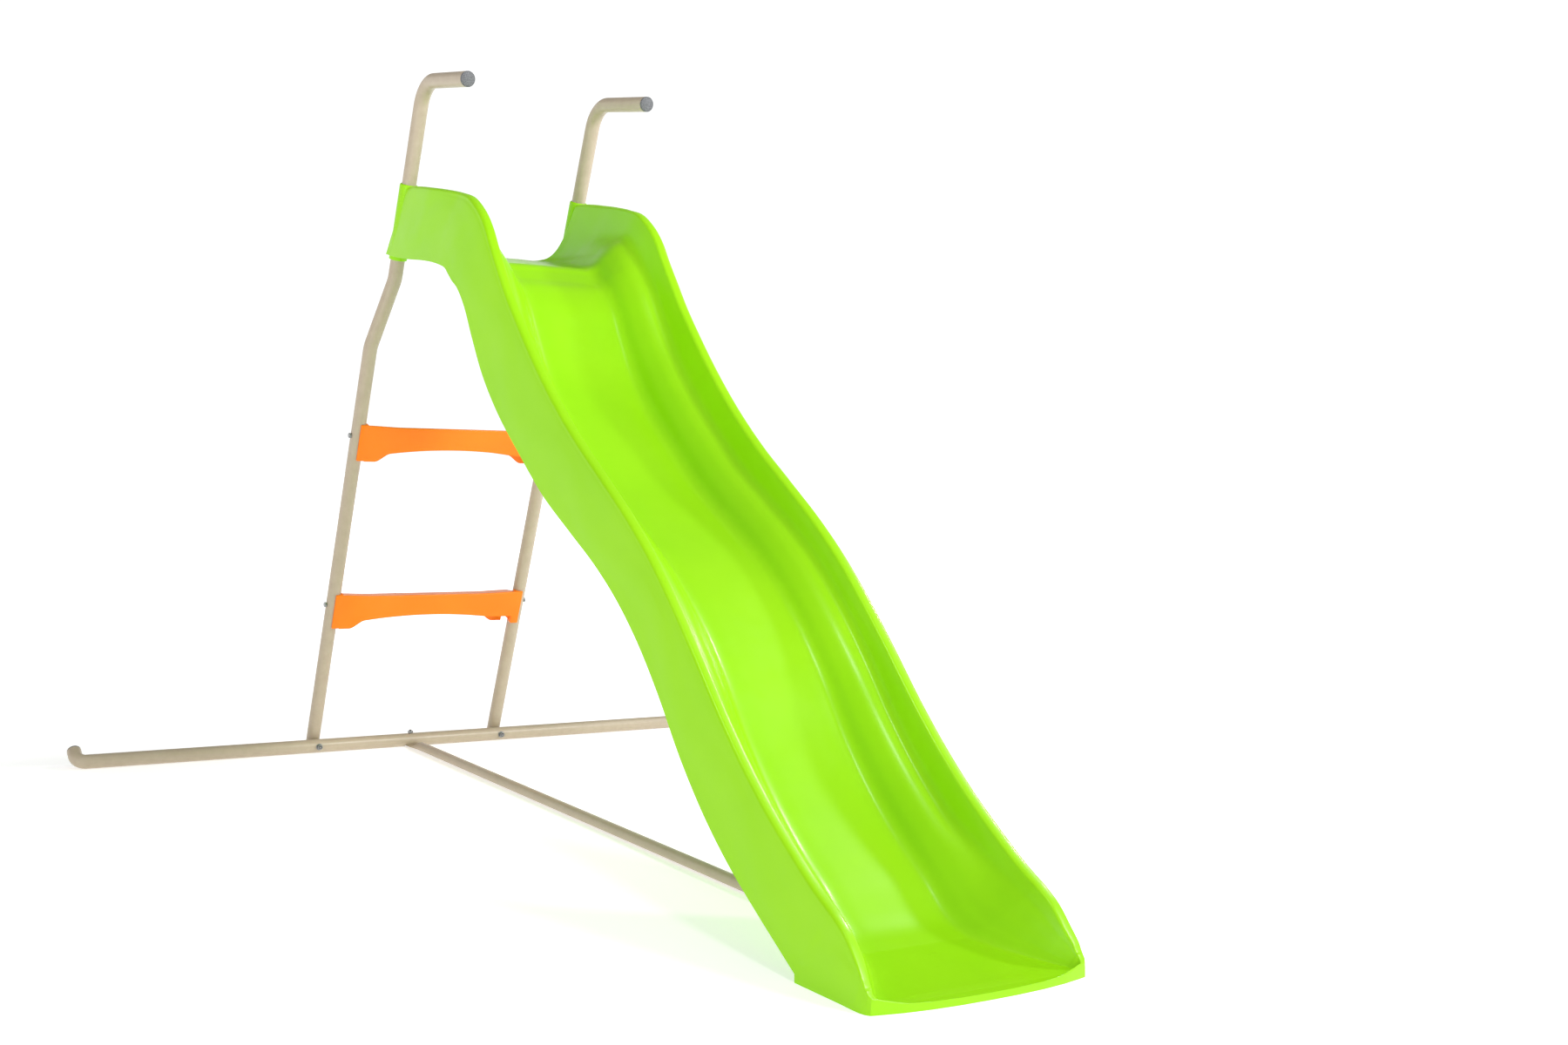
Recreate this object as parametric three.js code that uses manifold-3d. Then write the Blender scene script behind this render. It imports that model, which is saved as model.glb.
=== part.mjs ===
// Toddler garden slide: a moulded chute on a bent-tube ladder, with a ground bar and a strut.
// Millimetres. X runs across the slide, -Y is downhill, +Y is the ladder side, +Z is up.
// Stations along Y are counted from just ahead of the platform's back lip; the finished slide
// is then moved so that the bottom centre of its box is the origin.

import * as THREE from 'three';
import { mergeVertices } from 'three/addons/utils/BufferGeometryUtils.js';
import Module from 'manifold-3d';

const wasm = await Module();
wasm.setup();

// ---------------------------------------------------------------- driving dimensions

const GAP = 0.4;                    // clearance between separate pieces
const TUBE_R = 14;                  // ladder, handles and ground bar
const TUBE_WALL = 1.5;
const TUBE_SIDES = 16;
const BORE_SIDES = 12;

const LEAN = THREE.MathUtils.degToRad(19.36);   // ladder away from the vertical
const LEG_FOOT_Y = 333;             // leg axis where it meets the floor
const LEG_HALF_LOW = 214.3;         // half spacing of the legs at the steps
const LEG_HALF_TOP = 184.6;         // half spacing inside the chute's side walls
const JOGGLE_Z = [850, 980];        // height range of the sideways joggle
const HANDLE_CORNER_Z = 1339;
const HANDLE_END = { y: -329, z: 1308.5 };
const HANDLE_BEND_R = 56;
const HANDLE_PLUG_DEPTH = 16;

const BAR_Z = 14.5;
const BAR_HALF = 714;               // centre of the slide to the turned-back ends
const BAR_END_RISE = { y: 26, z: 17 };
const BAR_BEND_R = 18;
const BAR_PLUG_DEPTH = 11;
const CRUSH_HALF = 11;              // flattened patch under the bar, along Y
const PLUG_STEM_R = 11.8;           // inside the tube
const PLUG_STEM_TIP_R = 10.5;

const STRUT_R = 9.5;
const STRUT_FLAT = { width: 27, thick: 2.6 };
const STRUT_BAR_Z = 4.05;           // middle of the flattened end under the bar
const STRUT_CHUTE_Z = 8.4;          // middle of the flattened end under the chute
const STRUT_SCREW_Y = -1392;
const STRUT_TAB = 13;               // from either bolt to the end of the flattened end
const STRUT_RUN_Z = 9.8;            // middle of the round run

const STEP_BOLT_Z = { lower: 324, upper: 675 };
const STEP_HALF = LEG_HALF_LOW - TUBE_R - GAP;  // half width between the legs
const STEP_WING = 215.5;            // the front face laps over each leg to here
const STEP_SKIN = 3.4;
const STEP_FRONT = -18;             // front face, square to the leg, from the leg's axis
const STEP_BACK = 36;
const STEP_TOP = 18;                // tread above the bolt
const STEP_ARCH = -35;              // bottom of the front face where the arch starts
const ARCH_RISE = 9;                // from there up to mid span
const RIB_X = 60;                   // stiffening ribs from mid span
const STEP_LUG = -52;               // bottom of the end lugs
const LUG_INNER = 178;              // lugs reach from the ends to here
const ARCH_END = 143;               // and the arch starts here
const TREAD_LIFT = 2.2;             // rise of the tread's two ends

const BOLT_R = 3;
const STEP_BOLT_LENGTH = 40;
const WASHER = { radius: 7, thick: 1.2 };
const FOOT_HEAD_GAP = 2.4;          // saddle space between the leg and the foot bolt's head
const CHUTE_SCREW = { shank: 1.9, hole: 2.3, head: 5, headHeight: 2.6, depth: 10 };
const CUT = 30;                     // how far a drilled hole runs past its start
const HOLE_R = 3.4;
const HEX_R = 5.8;                  // across the corners, halved
const HEAD_H = 4;
const NUT_H = 5;

const SKIN = 4;                     // chute wall thickness
const SLEEVE_R = 17.6;              // socket in the side wall that takes the leg
const SLEEVE_Z = [1018, 1156];
const CHUTE_SCREW_Z = 1088;
const FLANGE_DROP = 16;             // turned-down back edge of the platform
const BOSS_R = 13;                  // boss under the run-out that takes the strut's front bolt
const BOSS_TOP_Z = 23.5;
const BOSS_HOLE_Z = 20.5;

// ---------------------------------------------------------------- materials

function finish(colour, roughness, metalness) {
  return new THREE.MeshStandardMaterial({ color: colour, roughness, metalness });
}

const lime = finish(0x9fdc32, 0.38, 0);
const orange = finish(0xff8e24, 0.42, 0);
const beige = finish(0xc4b69b, 0.42, 0.25);
const greyPlastic = finish(0x6b6d72, 0.6, 0);
const zinc = finish(0x8f9296, 0.35, 0.9);

// ---------------------------------------------------------------- solids

function solid(geometry) {
  const plain = geometry.clone();
  plain.deleteAttribute('normal');
  plain.deleteAttribute('uv');
  const merged = mergeVertices(plain, 1e-4);
  const triangles = [];
  for (let i = 0; i < merged.index.count; i += 3) {
    const [a, b, c] = [0, 1, 2].map((k) => merged.index.getX(i + k));
    if (a !== b && b !== c && c !== a) triangles.push(a, b, c);
  }
  return new wasm.Manifold(new wasm.Mesh({
    numProp: 3,
    vertProperties: new Float32Array(merged.attributes.position.array),
    triVerts: new Uint32Array(triangles),
  }));
}

function geometryOf(body) {
  const mesh = body.getMesh();
  const geometry = new THREE.BufferGeometry();
  geometry.setAttribute('position', new THREE.BufferAttribute(mesh.vertProperties, 3));
  geometry.setIndex(new THREE.BufferAttribute(mesh.triVerts, 1));
  const faceted = geometry.toNonIndexed();
  faceted.computeVertexNormals();
  return faceted;
}

function piece(name, body, material) {
  const mesh = new THREE.Mesh(geometryOf(body), material);
  mesh.name = name;
  return mesh;
}

const vec = (x, y, z) => new THREE.Vector3(x, y, z);

function ring(radius, sides) {
  const points = [];
  for (let k = 0; k < sides; k += 1) {
    const angle = (2 * Math.PI * (k + 0.5)) / sides;
    points.push(new THREE.Vector2(radius * Math.cos(angle), radius * Math.sin(angle)));
  }
  return points;
}

// A cylinder (or hexagon) from one point to another.
function rod(from, to, radius, sides = 12) {
  const along = to.clone().sub(from);
  const geometry = new THREE.CylinderGeometry(radius, radius, along.length(), sides);
  const turn = new THREE.Quaternion().setFromUnitVectors(vec(0, 1, 0), along.clone().normalize());
  geometry.applyQuaternion(turn);
  const middle = from.clone().add(to).multiplyScalar(0.5);
  geometry.translate(middle.x, middle.y, middle.z);
  return solid(geometry);
}

function box(low, high) {
  const size = [0, 1, 2].map((k) => high[k] - low[k]);
  const geometry = new THREE.BoxGeometry(...size);
  geometry.translate(...[0, 1, 2].map((k) => (low[k] + high[k]) / 2));
  return solid(geometry);
}

// ---------------------------------------------------------------- bent tubes

// Straight runs joined by round bends: a list of points with one step per straight run.
function bentRoute(corners, bendRadius, bendSteps = 6) {
  const points = [corners[0]];
  for (let k = 1; k < corners.length - 1; k += 1) {
    const into = corners[k].clone().sub(corners[k - 1]).normalize();
    const out = corners[k + 1].clone().sub(corners[k]).normalize();
    const turn = into.angleTo(out);
    const radius = bendRadius[k - 1];
    const start = corners[k].clone().addScaledVector(into, -radius * Math.tan(turn / 2));
    const side = out.clone().addScaledVector(into, -out.dot(into)).normalize();
    for (let s = 0; s <= bendSteps; s += 1) {
      const angle = (turn * s) / bendSteps;
      const point = start.clone().addScaledVector(into, radius * Math.sin(angle));
      points.push(point.addScaledVector(side, radius * (1 - Math.cos(angle))));
    }
  }
  points.push(corners[corners.length - 1]);
  return points;
}

class Route extends THREE.Curve {
  constructor(points) {
    super();
    this.points = points;
  }

  getPointAt(u, target = new THREE.Vector3()) {
    return target.copy(this.points[Math.round(u * (this.points.length - 1))]);
  }

  getTangentAt(u, target = new THREE.Vector3()) {
    const last = this.points.length - 1;
    const k = Math.round(u * last);
    const before = this.points[Math.max(k - 1, 0)];
    const after = this.points[Math.min(k + 1, last)];
    const here = this.points[k];
    const into = k > 0 ? here.clone().sub(before).normalize() : vec(0, 0, 0);
    const out = k < last ? after.clone().sub(here).normalize() : vec(0, 0, 0);
    return target.copy(into.add(out).normalize());
  }
}

function tube(points) {
  const section = new THREE.Shape(ring(TUBE_R, TUBE_SIDES));
  section.holes.push(new THREE.Path(ring(TUBE_R - TUBE_WALL, BORE_SIDES)));
  return solid(new THREE.ExtrudeGeometry(section, {
    steps: points.length - 1,
    extrudePath: new Route(points),
  }));
}

// ---------------------------------------------------------------- ladder geometry

const legY = (z) => LEG_FOOT_Y - z * Math.tan(LEAN);
const up = vec(0, -Math.sin(LEAN), Math.cos(LEAN));     // along the leg
const back = vec(0, Math.cos(LEAN), Math.sin(LEAN));    // square to the leg, to the rear
const barY = legY(BAR_Z) - (2 * TUBE_R + GAP) / Math.cos(LEAN);
const legAxis = (side, half, z) => vec(side * half, legY(z), z);

function legCorners(side) {
  const footZ = TUBE_R * Math.sin(LEAN);                // square-cut foot, front edge down
  return [
    legAxis(side, LEG_HALF_LOW, footZ),
    legAxis(side, LEG_HALF_LOW, JOGGLE_Z[0]),
    legAxis(side, LEG_HALF_TOP, JOGGLE_Z[1]),
    legAxis(side, LEG_HALF_TOP, HANDLE_CORNER_Z),
    vec(side * LEG_HALF_TOP, HANDLE_END.y, HANDLE_END.z),
  ];
}

function legTube(side) {
  let body = tube(bentRoute(legCorners(side), [90, 90, HANDLE_BEND_R], 5));
  const reach = vec(TUBE_R * 2, 0, 0);
  for (const z of Object.values(STEP_BOLT_Z)) {
    const middle = legAxis(side, LEG_HALF_LOW, z);
    body = body.subtract(rod(middle.clone().sub(reach), middle.clone().add(reach), HOLE_R, 10));
  }
  const foot = vec(side * LEG_HALF_LOW, legY(BAR_Z), BAR_Z);
  const [ahead, behind] = [foot.clone().setY(foot.y - CUT), foot.clone().setY(foot.y + CUT)];
  body = body.subtract(rod(ahead, behind, HOLE_R, 10));
  const screw = legAxis(side, LEG_HALF_TOP, CHUTE_SCREW_Z);
  return body.subtract(rod(screw, screw.clone().addScaledVector(back, CUT), CHUTE_SCREW.hole, 8));
}

// Round plug pushed into a tube's end, with a low domed head.
function endPlug(end, direction, headRadius, depth) {
  const headStart = end.clone().addScaledVector(direction, 0.3);
  const profile = [
    [0, -depth], [PLUG_STEM_TIP_R, -depth], [PLUG_STEM_R, 2 - depth], [PLUG_STEM_R, 0],
    [headRadius - 0.6, 0], [headRadius, 0.8], [headRadius, 2.2], [headRadius - 1.4, 3.2],
    [headRadius * 0.5, 3.9], [0, 4.1],
  ].map(([r, h]) => new THREE.Vector2(r, h));
  const geometry = new THREE.LatheGeometry(profile, TUBE_SIDES);
  geometry.applyQuaternion(new THREE.Quaternion().setFromUnitVectors(vec(0, 1, 0), direction));
  geometry.translate(headStart.x, headStart.y, headStart.z);
  return solid(geometry);
}

function handleCap(side) {
  const corners = legCorners(side);
  const end = corners[4];
  return endPlug(end, end.clone().sub(corners[3]).normalize(), TUBE_R, HANDLE_PLUG_DEPTH);
}

// ---------------------------------------------------------------- ground bar and strut

function barCorners() {
  const tip = (side) => vec(side * BAR_HALF, barY + BAR_END_RISE.y, BAR_Z + BAR_END_RISE.z);
  const corner = (side) => vec(side * BAR_HALF, barY, BAR_Z);
  return [tip(-1), corner(-1), corner(1), tip(1)];
}

function groundBar() {
  const pocketTop = STRUT_BAR_Z + STRUT_FLAT.thick / 2 + GAP / 2;
  const pocketHalf = STRUT_FLAT.width / 2 + 1.5;
  let body = tube(bentRoute(barCorners(), [BAR_BEND_R, BAR_BEND_R], 5));
  // crushed flat underneath at mid span, where the strut's end is bolted on
  const crushedLow = [-pocketHalf, barY - CRUSH_HALF, pocketTop];
  const crushedHigh = [pocketHalf, barY + CRUSH_HALF, pocketTop + TUBE_WALL];
  const below = -5;                                     // clear of the floor
  const above = 40;                                     // clear of the bar
  const pocketReach = 20;
  const pocketLow = [-pocketHalf, barY - pocketReach, below];
  body = body.subtract(box(pocketLow, [pocketHalf, barY + pocketReach, pocketTop]));
  body = body.add(box(crushedLow, crushedHigh));
  body = body.subtract(rod(vec(0, barY, below), vec(0, barY, above), HOLE_R, 10));
  for (const side of [-1, 1]) {
    const x = side * LEG_HALF_LOW;
    body = body.subtract(rod(vec(x, barY - CUT, BAR_Z), vec(x, barY + CUT, BAR_Z), HOLE_R, 10));
  }
  return body;
}

function barPlug(side) {
  const corners = barCorners();
  const [tip, corner] = side < 0 ? [corners[0], corners[1]] : [corners[3], corners[2]];
  return endPlug(tip, tip.clone().sub(corner).normalize(), TUBE_R - 0.3, BAR_PLUG_DEPTH);
}

// Closed solid through equal rings of points, with flat ends.
function loft(rings) {
  const positions = [];
  const index = [];
  const count = rings[0].length;
  for (const loop of rings) loop.forEach((p) => positions.push(p.x, p.y, p.z));
  for (let i = 0; i < rings.length - 1; i += 1) {
    for (let j = 0; j < count; j += 1) {
      const a = i * count + j;
      const b = i * count + ((j + 1) % count);
      index.push(a, b, b + count, a, b + count, a + count);
    }
  }
  const last = (rings.length - 1) * count;
  for (let j = 1; j < count - 1; j += 1) {
    index.push(0, j + 1, j, last, last + j, last + j + 1);
  }
  const geometry = new THREE.BufferGeometry();
  geometry.setAttribute('position', new THREE.Float32BufferAttribute(positions, 3));
  geometry.setIndex(index);
  return geometry;
}

function strut() {
  // y, middle height, and how flat the tube is pressed (0 round, 1 flat)
  const stations = [
    [barY + STRUT_TAB, STRUT_BAR_Z, 1], [barY - 22, STRUT_BAR_Z, 1], [barY - 36, 5.6, 0.75],
    [barY - 52, 8.2, 0.3], [barY - 66, STRUT_RUN_Z, 0],
    [STRUT_SCREW_Y + 62, STRUT_RUN_Z, 0], [STRUT_SCREW_Y + 46, 9.6, 0.3],
    [STRUT_SCREW_Y + 32, 8.9, 0.75], [STRUT_SCREW_Y + 20, STRUT_CHUTE_Z, 1],
    [STRUT_SCREW_Y - STRUT_TAB, STRUT_CHUTE_Z, 1],
  ];
  const sides = 16;
  const rings = stations.map(([y, z, flat]) => {
    const halfWidth = THREE.MathUtils.lerp(STRUT_R, STRUT_FLAT.width / 2, flat);
    const halfThick = THREE.MathUtils.lerp(STRUT_R, STRUT_FLAT.thick / 2, flat);
    const square = THREE.MathUtils.lerp(1, 0.35, flat);
    return Array.from({ length: sides }, (_, k) => {
      const angle = (2 * Math.PI * (k + 0.5)) / sides;
      const x = Math.sign(Math.cos(angle)) * Math.abs(Math.cos(angle)) ** square * halfWidth;
      const h = Math.sign(Math.sin(angle)) * Math.abs(Math.sin(angle)) ** square * halfThick;
      return vec(x, y, z + h);
    });
  });
  let body = solid(loft(rings));
  for (const y of [barY, STRUT_SCREW_Y]) {
    body = body.subtract(rod(vec(0, y, -CUT), vec(0, y, CUT), HOLE_R, 10));
  }
  return body;
}

// ---------------------------------------------------------------- steps

// Outline of a flange in X and height: lugs at both ends and a shallow arch between them.
function flangeOutline(half, top, archZ, lugZ) {
  const shape = new THREE.Shape();
  const crownZ = archZ + ARCH_RISE;
  shape.moveTo(-half, lugZ + 1.5);
  shape.lineTo(-half + 1.5, lugZ);
  shape.lineTo(-LUG_INNER, lugZ - 1.5);
  shape.bezierCurveTo(-165, lugZ - 1, -158, archZ - 2.5, -ARCH_END, archZ);
  shape.quadraticCurveTo(0, 2 * crownZ - archZ, ARCH_END, archZ);
  shape.bezierCurveTo(158, archZ - 2.5, 165, lugZ - 1, LUG_INNER, lugZ - 1.5);
  shape.lineTo(half - 1.5, lugZ);
  shape.lineTo(half, lugZ + 1.5);
  shape.lineTo(half, top + 2.5);
  shape.quadraticCurveTo(half * 0.82, top, half * 0.6, top);
  shape.lineTo(-half * 0.6, top);
  shape.quadraticCurveTo(-half * 0.82, top, -half, top + 2.5);
  return shape;
}

// A flange is a plate that leans with the legs; its outline keeps world heights.
function flange(half, from, archZ, lugZ) {
  const tilt = (z) => (z - from * Math.sin(LEAN)) / Math.cos(LEAN);
  const outline = flangeOutline(half, tilt(STEP_TOP), tilt(archZ), tilt(lugZ));
  const geometry = new THREE.ExtrudeGeometry(outline, {
    depth: STEP_SKIN, bevelEnabled: false, curveSegments: 5,
  });
  geometry.rotateX(Math.PI / 2);                        // outline upright, depth towards -Y
  geometry.translate(0, from + STEP_SKIN, 0);
  geometry.rotateX(LEAN);
  return solid(geometry);
}

function step() {
  let body = flange(STEP_WING, STEP_FRONT, STEP_ARCH, STEP_LUG);
  body = body.add(flange(STEP_HALF, STEP_BACK - STEP_SKIN, STEP_ARCH, STEP_LUG + 6));

  const frontY = STEP_FRONT / Math.cos(LEAN) - STEP_TOP * Math.tan(LEAN);
  const backY = STEP_BACK / Math.cos(LEAN) - STEP_TOP * Math.tan(LEAN);
  const tread = new THREE.Shape();
  tread.moveTo(-STEP_HALF, STEP_TOP + TREAD_LIFT);
  tread.quadraticCurveTo(-STEP_HALF * 0.86, STEP_TOP, -STEP_HALF * 0.64, STEP_TOP);
  tread.lineTo(STEP_HALF * 0.64, STEP_TOP);
  tread.quadraticCurveTo(STEP_HALF * 0.86, STEP_TOP, STEP_HALF, STEP_TOP + TREAD_LIFT);
  tread.lineTo(STEP_HALF, STEP_TOP - STEP_SKIN);
  tread.lineTo(-STEP_HALF, STEP_TOP - STEP_SKIN);
  const treadPlate = new THREE.ExtrudeGeometry(tread, {
    depth: backY - frontY - 0.4, bevelEnabled: false, curveSegments: 4,
  });
  treadPlate.rotateX(Math.PI / 2);
  treadPlate.translate(0, backY - 0.2, 0);
  body = body.add(solid(treadPlate));

  // end walls against the legs, and two stiffening ribs
  const wall = (x, foot) => {
    const slab = new THREE.Shape();
    slab.moveTo(STEP_FRONT + 1, foot);
    slab.lineTo(STEP_BACK - 1, foot);
    slab.lineTo(STEP_BACK - 1, 7);
    slab.lineTo(STEP_FRONT + 1, 24);
    const geometry = new THREE.ExtrudeGeometry(slab, { depth: STEP_SKIN, bevelEnabled: false });
    geometry.rotateY(Math.PI / 2);                      // outline x becomes -Z, depth runs +X
    geometry.rotateX(Math.PI / 2);
    geometry.rotateX(LEAN);
    return geometry.translate(x, 0, 0);
  };
  const ribFoot = STEP_ARCH + ARCH_RISE + 4;
  const wallFoot = STEP_LUG + 8;
  const walls = [
    [STEP_HALF - STEP_SKIN, wallFoot], [-STEP_HALF, wallFoot],
    [RIB_X, ribFoot], [-RIB_X - STEP_SKIN, ribFoot],
  ];
  for (const [x, foot] of walls) body = body.add(solid(wall(x, foot)));
  return body.subtract(rod(vec(-STEP_HALF - CUT, 0, 0), vec(STEP_HALF + CUT, 0, 0), HOLE_R, 10));
}

// ---------------------------------------------------------------- fasteners

function bolt(head, direction, length, headRadius = HEX_R, headSides = 6, headHeight = HEAD_H) {
  const tip = head.clone().addScaledVector(direction, length);
  const seat = head.clone().addScaledVector(direction, -headHeight);
  const inside = head.clone().addScaledVector(direction, -headHeight / 2);
  return rod(seat, head, headRadius, headSides).add(rod(inside, tip, BOLT_R, 10));
}

function nut(from, direction, height = NUT_H, radius = HEX_R, sides = 6) {
  const outline = new THREE.Shape(ring(radius, sides));
  outline.holes.push(new THREE.Path(ring(HOLE_R + 0.1, 10)));
  const geometry = new THREE.ExtrudeGeometry(outline, { depth: height, bevelEnabled: false });
  geometry.applyQuaternion(new THREE.Quaternion().setFromUnitVectors(vec(0, 0, 1), direction));
  geometry.translate(from.x, from.y, from.z);
  return solid(geometry);
}

// ---------------------------------------------------------------- chute

// Each station crosses the chute: [rim y, rim z, skirt edge y, skirt edge z, floor y, floor z].
// Where the floor is left out it lies FLOOR_LIFT above the skirt's edge, towards the rim.
const FLOOR_LIFT = 19;
const STATIONS = [
  [-85, 1149, -8, 1028, 38, 1046],
  [-89.5, 1148.7, -12.5, 1027.2, 34.5, 1045.4],
  [-89.9, 1148.6, -12.9, 1027.1, 34.1, 1045.3],
  [-130, 1145, -62, 1017, -22, 1037],
  [-190, 1135.2, -122, 1008, -95, 1025.5],
  [-244, 1125.4, -182, 1001, -165, 1014.5],
  [-298.5, 1113.4, -240, 991.5, -232, 1003.5],
  [-343.5, 1098.9, -286, 979],
  [-382.9, 1071.2, -303, 966],
  [-410.5, 1041.5, -320.5, 952.5],
  [-433.2, 1006.9, -344, 937.5],
  [-461.2, 967.9, -375, 903.5],
  [-497.3, 918.8, -410, 847],
  [-542.5, 866.6, -453, 782],
  [-601.9, 802.8, -516, 714],
  [-670, 737.8, -592, 651],
  [-748.5, 674, -680, 583],
  [-828.9, 617.8, -766, 532],
  [-908.8, 561.4, -847, 485],
  [-978.6, 504.6, -914, 437],
  [-1043.9, 441, -976, 380],
  [-1103.9, 377, -1034, 313],
  [-1164.3, 309.8, -1093, 235],
  [-1224.3, 249.3, -1153, 169],
  [-1284.5, 196.6, -1214, 115],
  [-1340, 155, -1276, 70],
  [-1388, 122, -1332, 32, -1341, 43],
  [-1425, 101, -1363, 11, -1378, 28.5],
  [-1425.8, 100.5, -1363.4, 0, -1379, 28.2],
  [-1450, 83, -1410, 0, -1418, 21],
  [-1472, 58, -1450, 0, -1453, 16],
  [-1485, 41, -1476, 0, -1477, 13],
  [-1491, 31, -1487, 0, -1487.4, 12],
  [-1491.4, 30.5, -1487.6, 0, -1488, 11.9],
  [-1496.5, 24, -1495, 0, -1495, 11],
  [-1500.5, 19.5, -1500.5, 0, -1500.5, 10.3],
  [-1503, 16.5, -1503.5, 0, -1503, 9.9],
  [-1508.7, 11, -1509.2, 0, -1508.7, 9.5],
  [-1513.5, 9.5, -1514, 0, -1513.5, 9.1],
  [-1516, 9, -1516.5, 0, -1516, 8.8],
  [-1516.5, 9, -1517, 0, -1516.5, 8.8],
];
const BULKHEAD_STATIONS = 2;        // solid across: closes the side walls at the back
const LIP_INSET = 3.5;              // thickness of that wall round the back lip's corners
const NOSE_START = -1487.5;         // solid from here forwards

// Values that change along the chute, against the skirt edge's y.
const SKIRT_HALF = [
  [-400, 203], [-1350, 184.5], [-1450, 181], [-1476, 181], [-1487, 180], [-1495, 178],
  [-1500.5, 174], [-1503.5, 160], [-1509.2, 130], [-1514, 90], [-1516.5, 45], [-1517, 8],
];
const RIM_OUTER_INSET = [
  [-130, 8], [-240, 20], [-700, 17], [-1350, 7], [-1450, 4], [-1487, 3], [-1500.5, 1.2],
];
const RIM_TOP_INSET = [
  [-130, 20], [-240, 30], [-700, 26], [-1350, 14], [-1450, 9], [-1487, 6.5], [-1500.5, 4.5],
];
const RIM_INNER_INSET = [
  [-130, 33], [-300, 40], [-700, 38], [-1350, 27], [-1450, 20], [-1487, 14], [-1500.5, 9],
  [-1509.2, 8], [-1517, 5],
];
const FLOOR_HALF = [
  [0, 117], [-122, 107], [-182, 95], [-240, 86], [-324, 79], [-1332, 77], [-1363, 86],
  [-1410, 106], [-1450, 129], [-1476, 146], [-1487, 153], [-1500.5, 157], [-1503.5, 145],
  [-1509.2, 119], [-1514, 82], [-1516.5, 38], [-1517, 2.5],
];
const PLATFORM = [[-60, 1], [-240, 0.4], [-324, 0]];    // how upright the side walls stand
const LEDGE = [[-1220, 1], [-1350, 0]];                 // how clear the ledge in them is

function ramp(table, y) {
  if (y >= table[0][0]) return table[0][1];
  for (let k = 1; k < table.length; k += 1) {
    const [y0, v0] = table[k - 1];
    const [y1, v1] = table[k];
    if (y >= y1) return THREE.MathUtils.mapLinear(y, y0, y1, v0, v1);
  }
  return table[table.length - 1][1];
}

// Inner side from foot to rim. At the platform: share of the width, of the height, and of the
// floor's setback. On the slope: share of the width, of the height with the ledge and without.
const INNER_WALL = [
  [0, 0, 1, 0, 0, 0], [0.25, 0.005, 0.94, 0.1, 0.035, 0.035], [0.43, 0.03, 0.78, 0.2, 0.11, 0.1],
  [0.56, 0.085, 0.52, 0.3, 0.235, 0.18], [0.66, 0.17, 0.2, 0.4, 0.335, 0.26],
  [0.715, 0.27, -0.03, 0.52, 0.435, 0.38], [0.76, 0.38, -0.17, 0.66, 0.505, 0.52],
  [0.81, 0.5, -0.22, 0.8, 0.545, 0.68], [0.865, 0.61, -0.21, 0.89, 0.65, 0.78],
  [0.93, 0.767, -0.15, 0.95, 0.82, 0.87], [1, 0.94, -0.05, 1, 0.94, 0.94],
];

// Half section as [half width, share of floor-to-rim, share of rim-to-edge, share of setback].
function halfSection(y) {
  const { lerp } = THREE.MathUtils;
  const skirt = ramp(SKIRT_HALF, y);
  const outer = skirt - ramp(RIM_OUTER_INSET, y);
  const top = skirt - ramp(RIM_TOP_INSET, y);
  const inner = skirt - ramp(RIM_INNER_INSET, y);
  const foot = Math.min(ramp(FLOOR_HALF, y), inner - 0.4);
  const platform = ramp(PLATFORM, y);
  const ledge = ramp(LEDGE, y);
  const section = [[0, 0, 0, 1]];
  for (const [flatWidth, flatRise, flatBack, width, stepped, plain] of INNER_WALL) {
    const slopeRise = lerp(plain, stepped, ledge);
    const rise = lerp(slopeRise, flatRise, platform);
    const share = lerp(width, flatWidth, platform);
    section.push([lerp(foot, inner, share), rise, 0, lerp(1 - slopeRise, flatBack, platform)]);
  }
  section.push([lerp(inner, top, 0.45), 0.985, 0, 0]);
  section.push([top, 1, 0, 0]);
  section.push([lerp(top, outer, 0.6), 1, 0.012, 0]);
  section.push([outer, 1, 0.06, 0]);
  section.push([lerp(outer, skirt, 0.35), 1, 0.3, 0]);
  section.push([lerp(outer, skirt, 0.75), 1, 0.7, 0]);
  section.push([skirt, 1, 1, 0]);
  return section;
}

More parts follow.
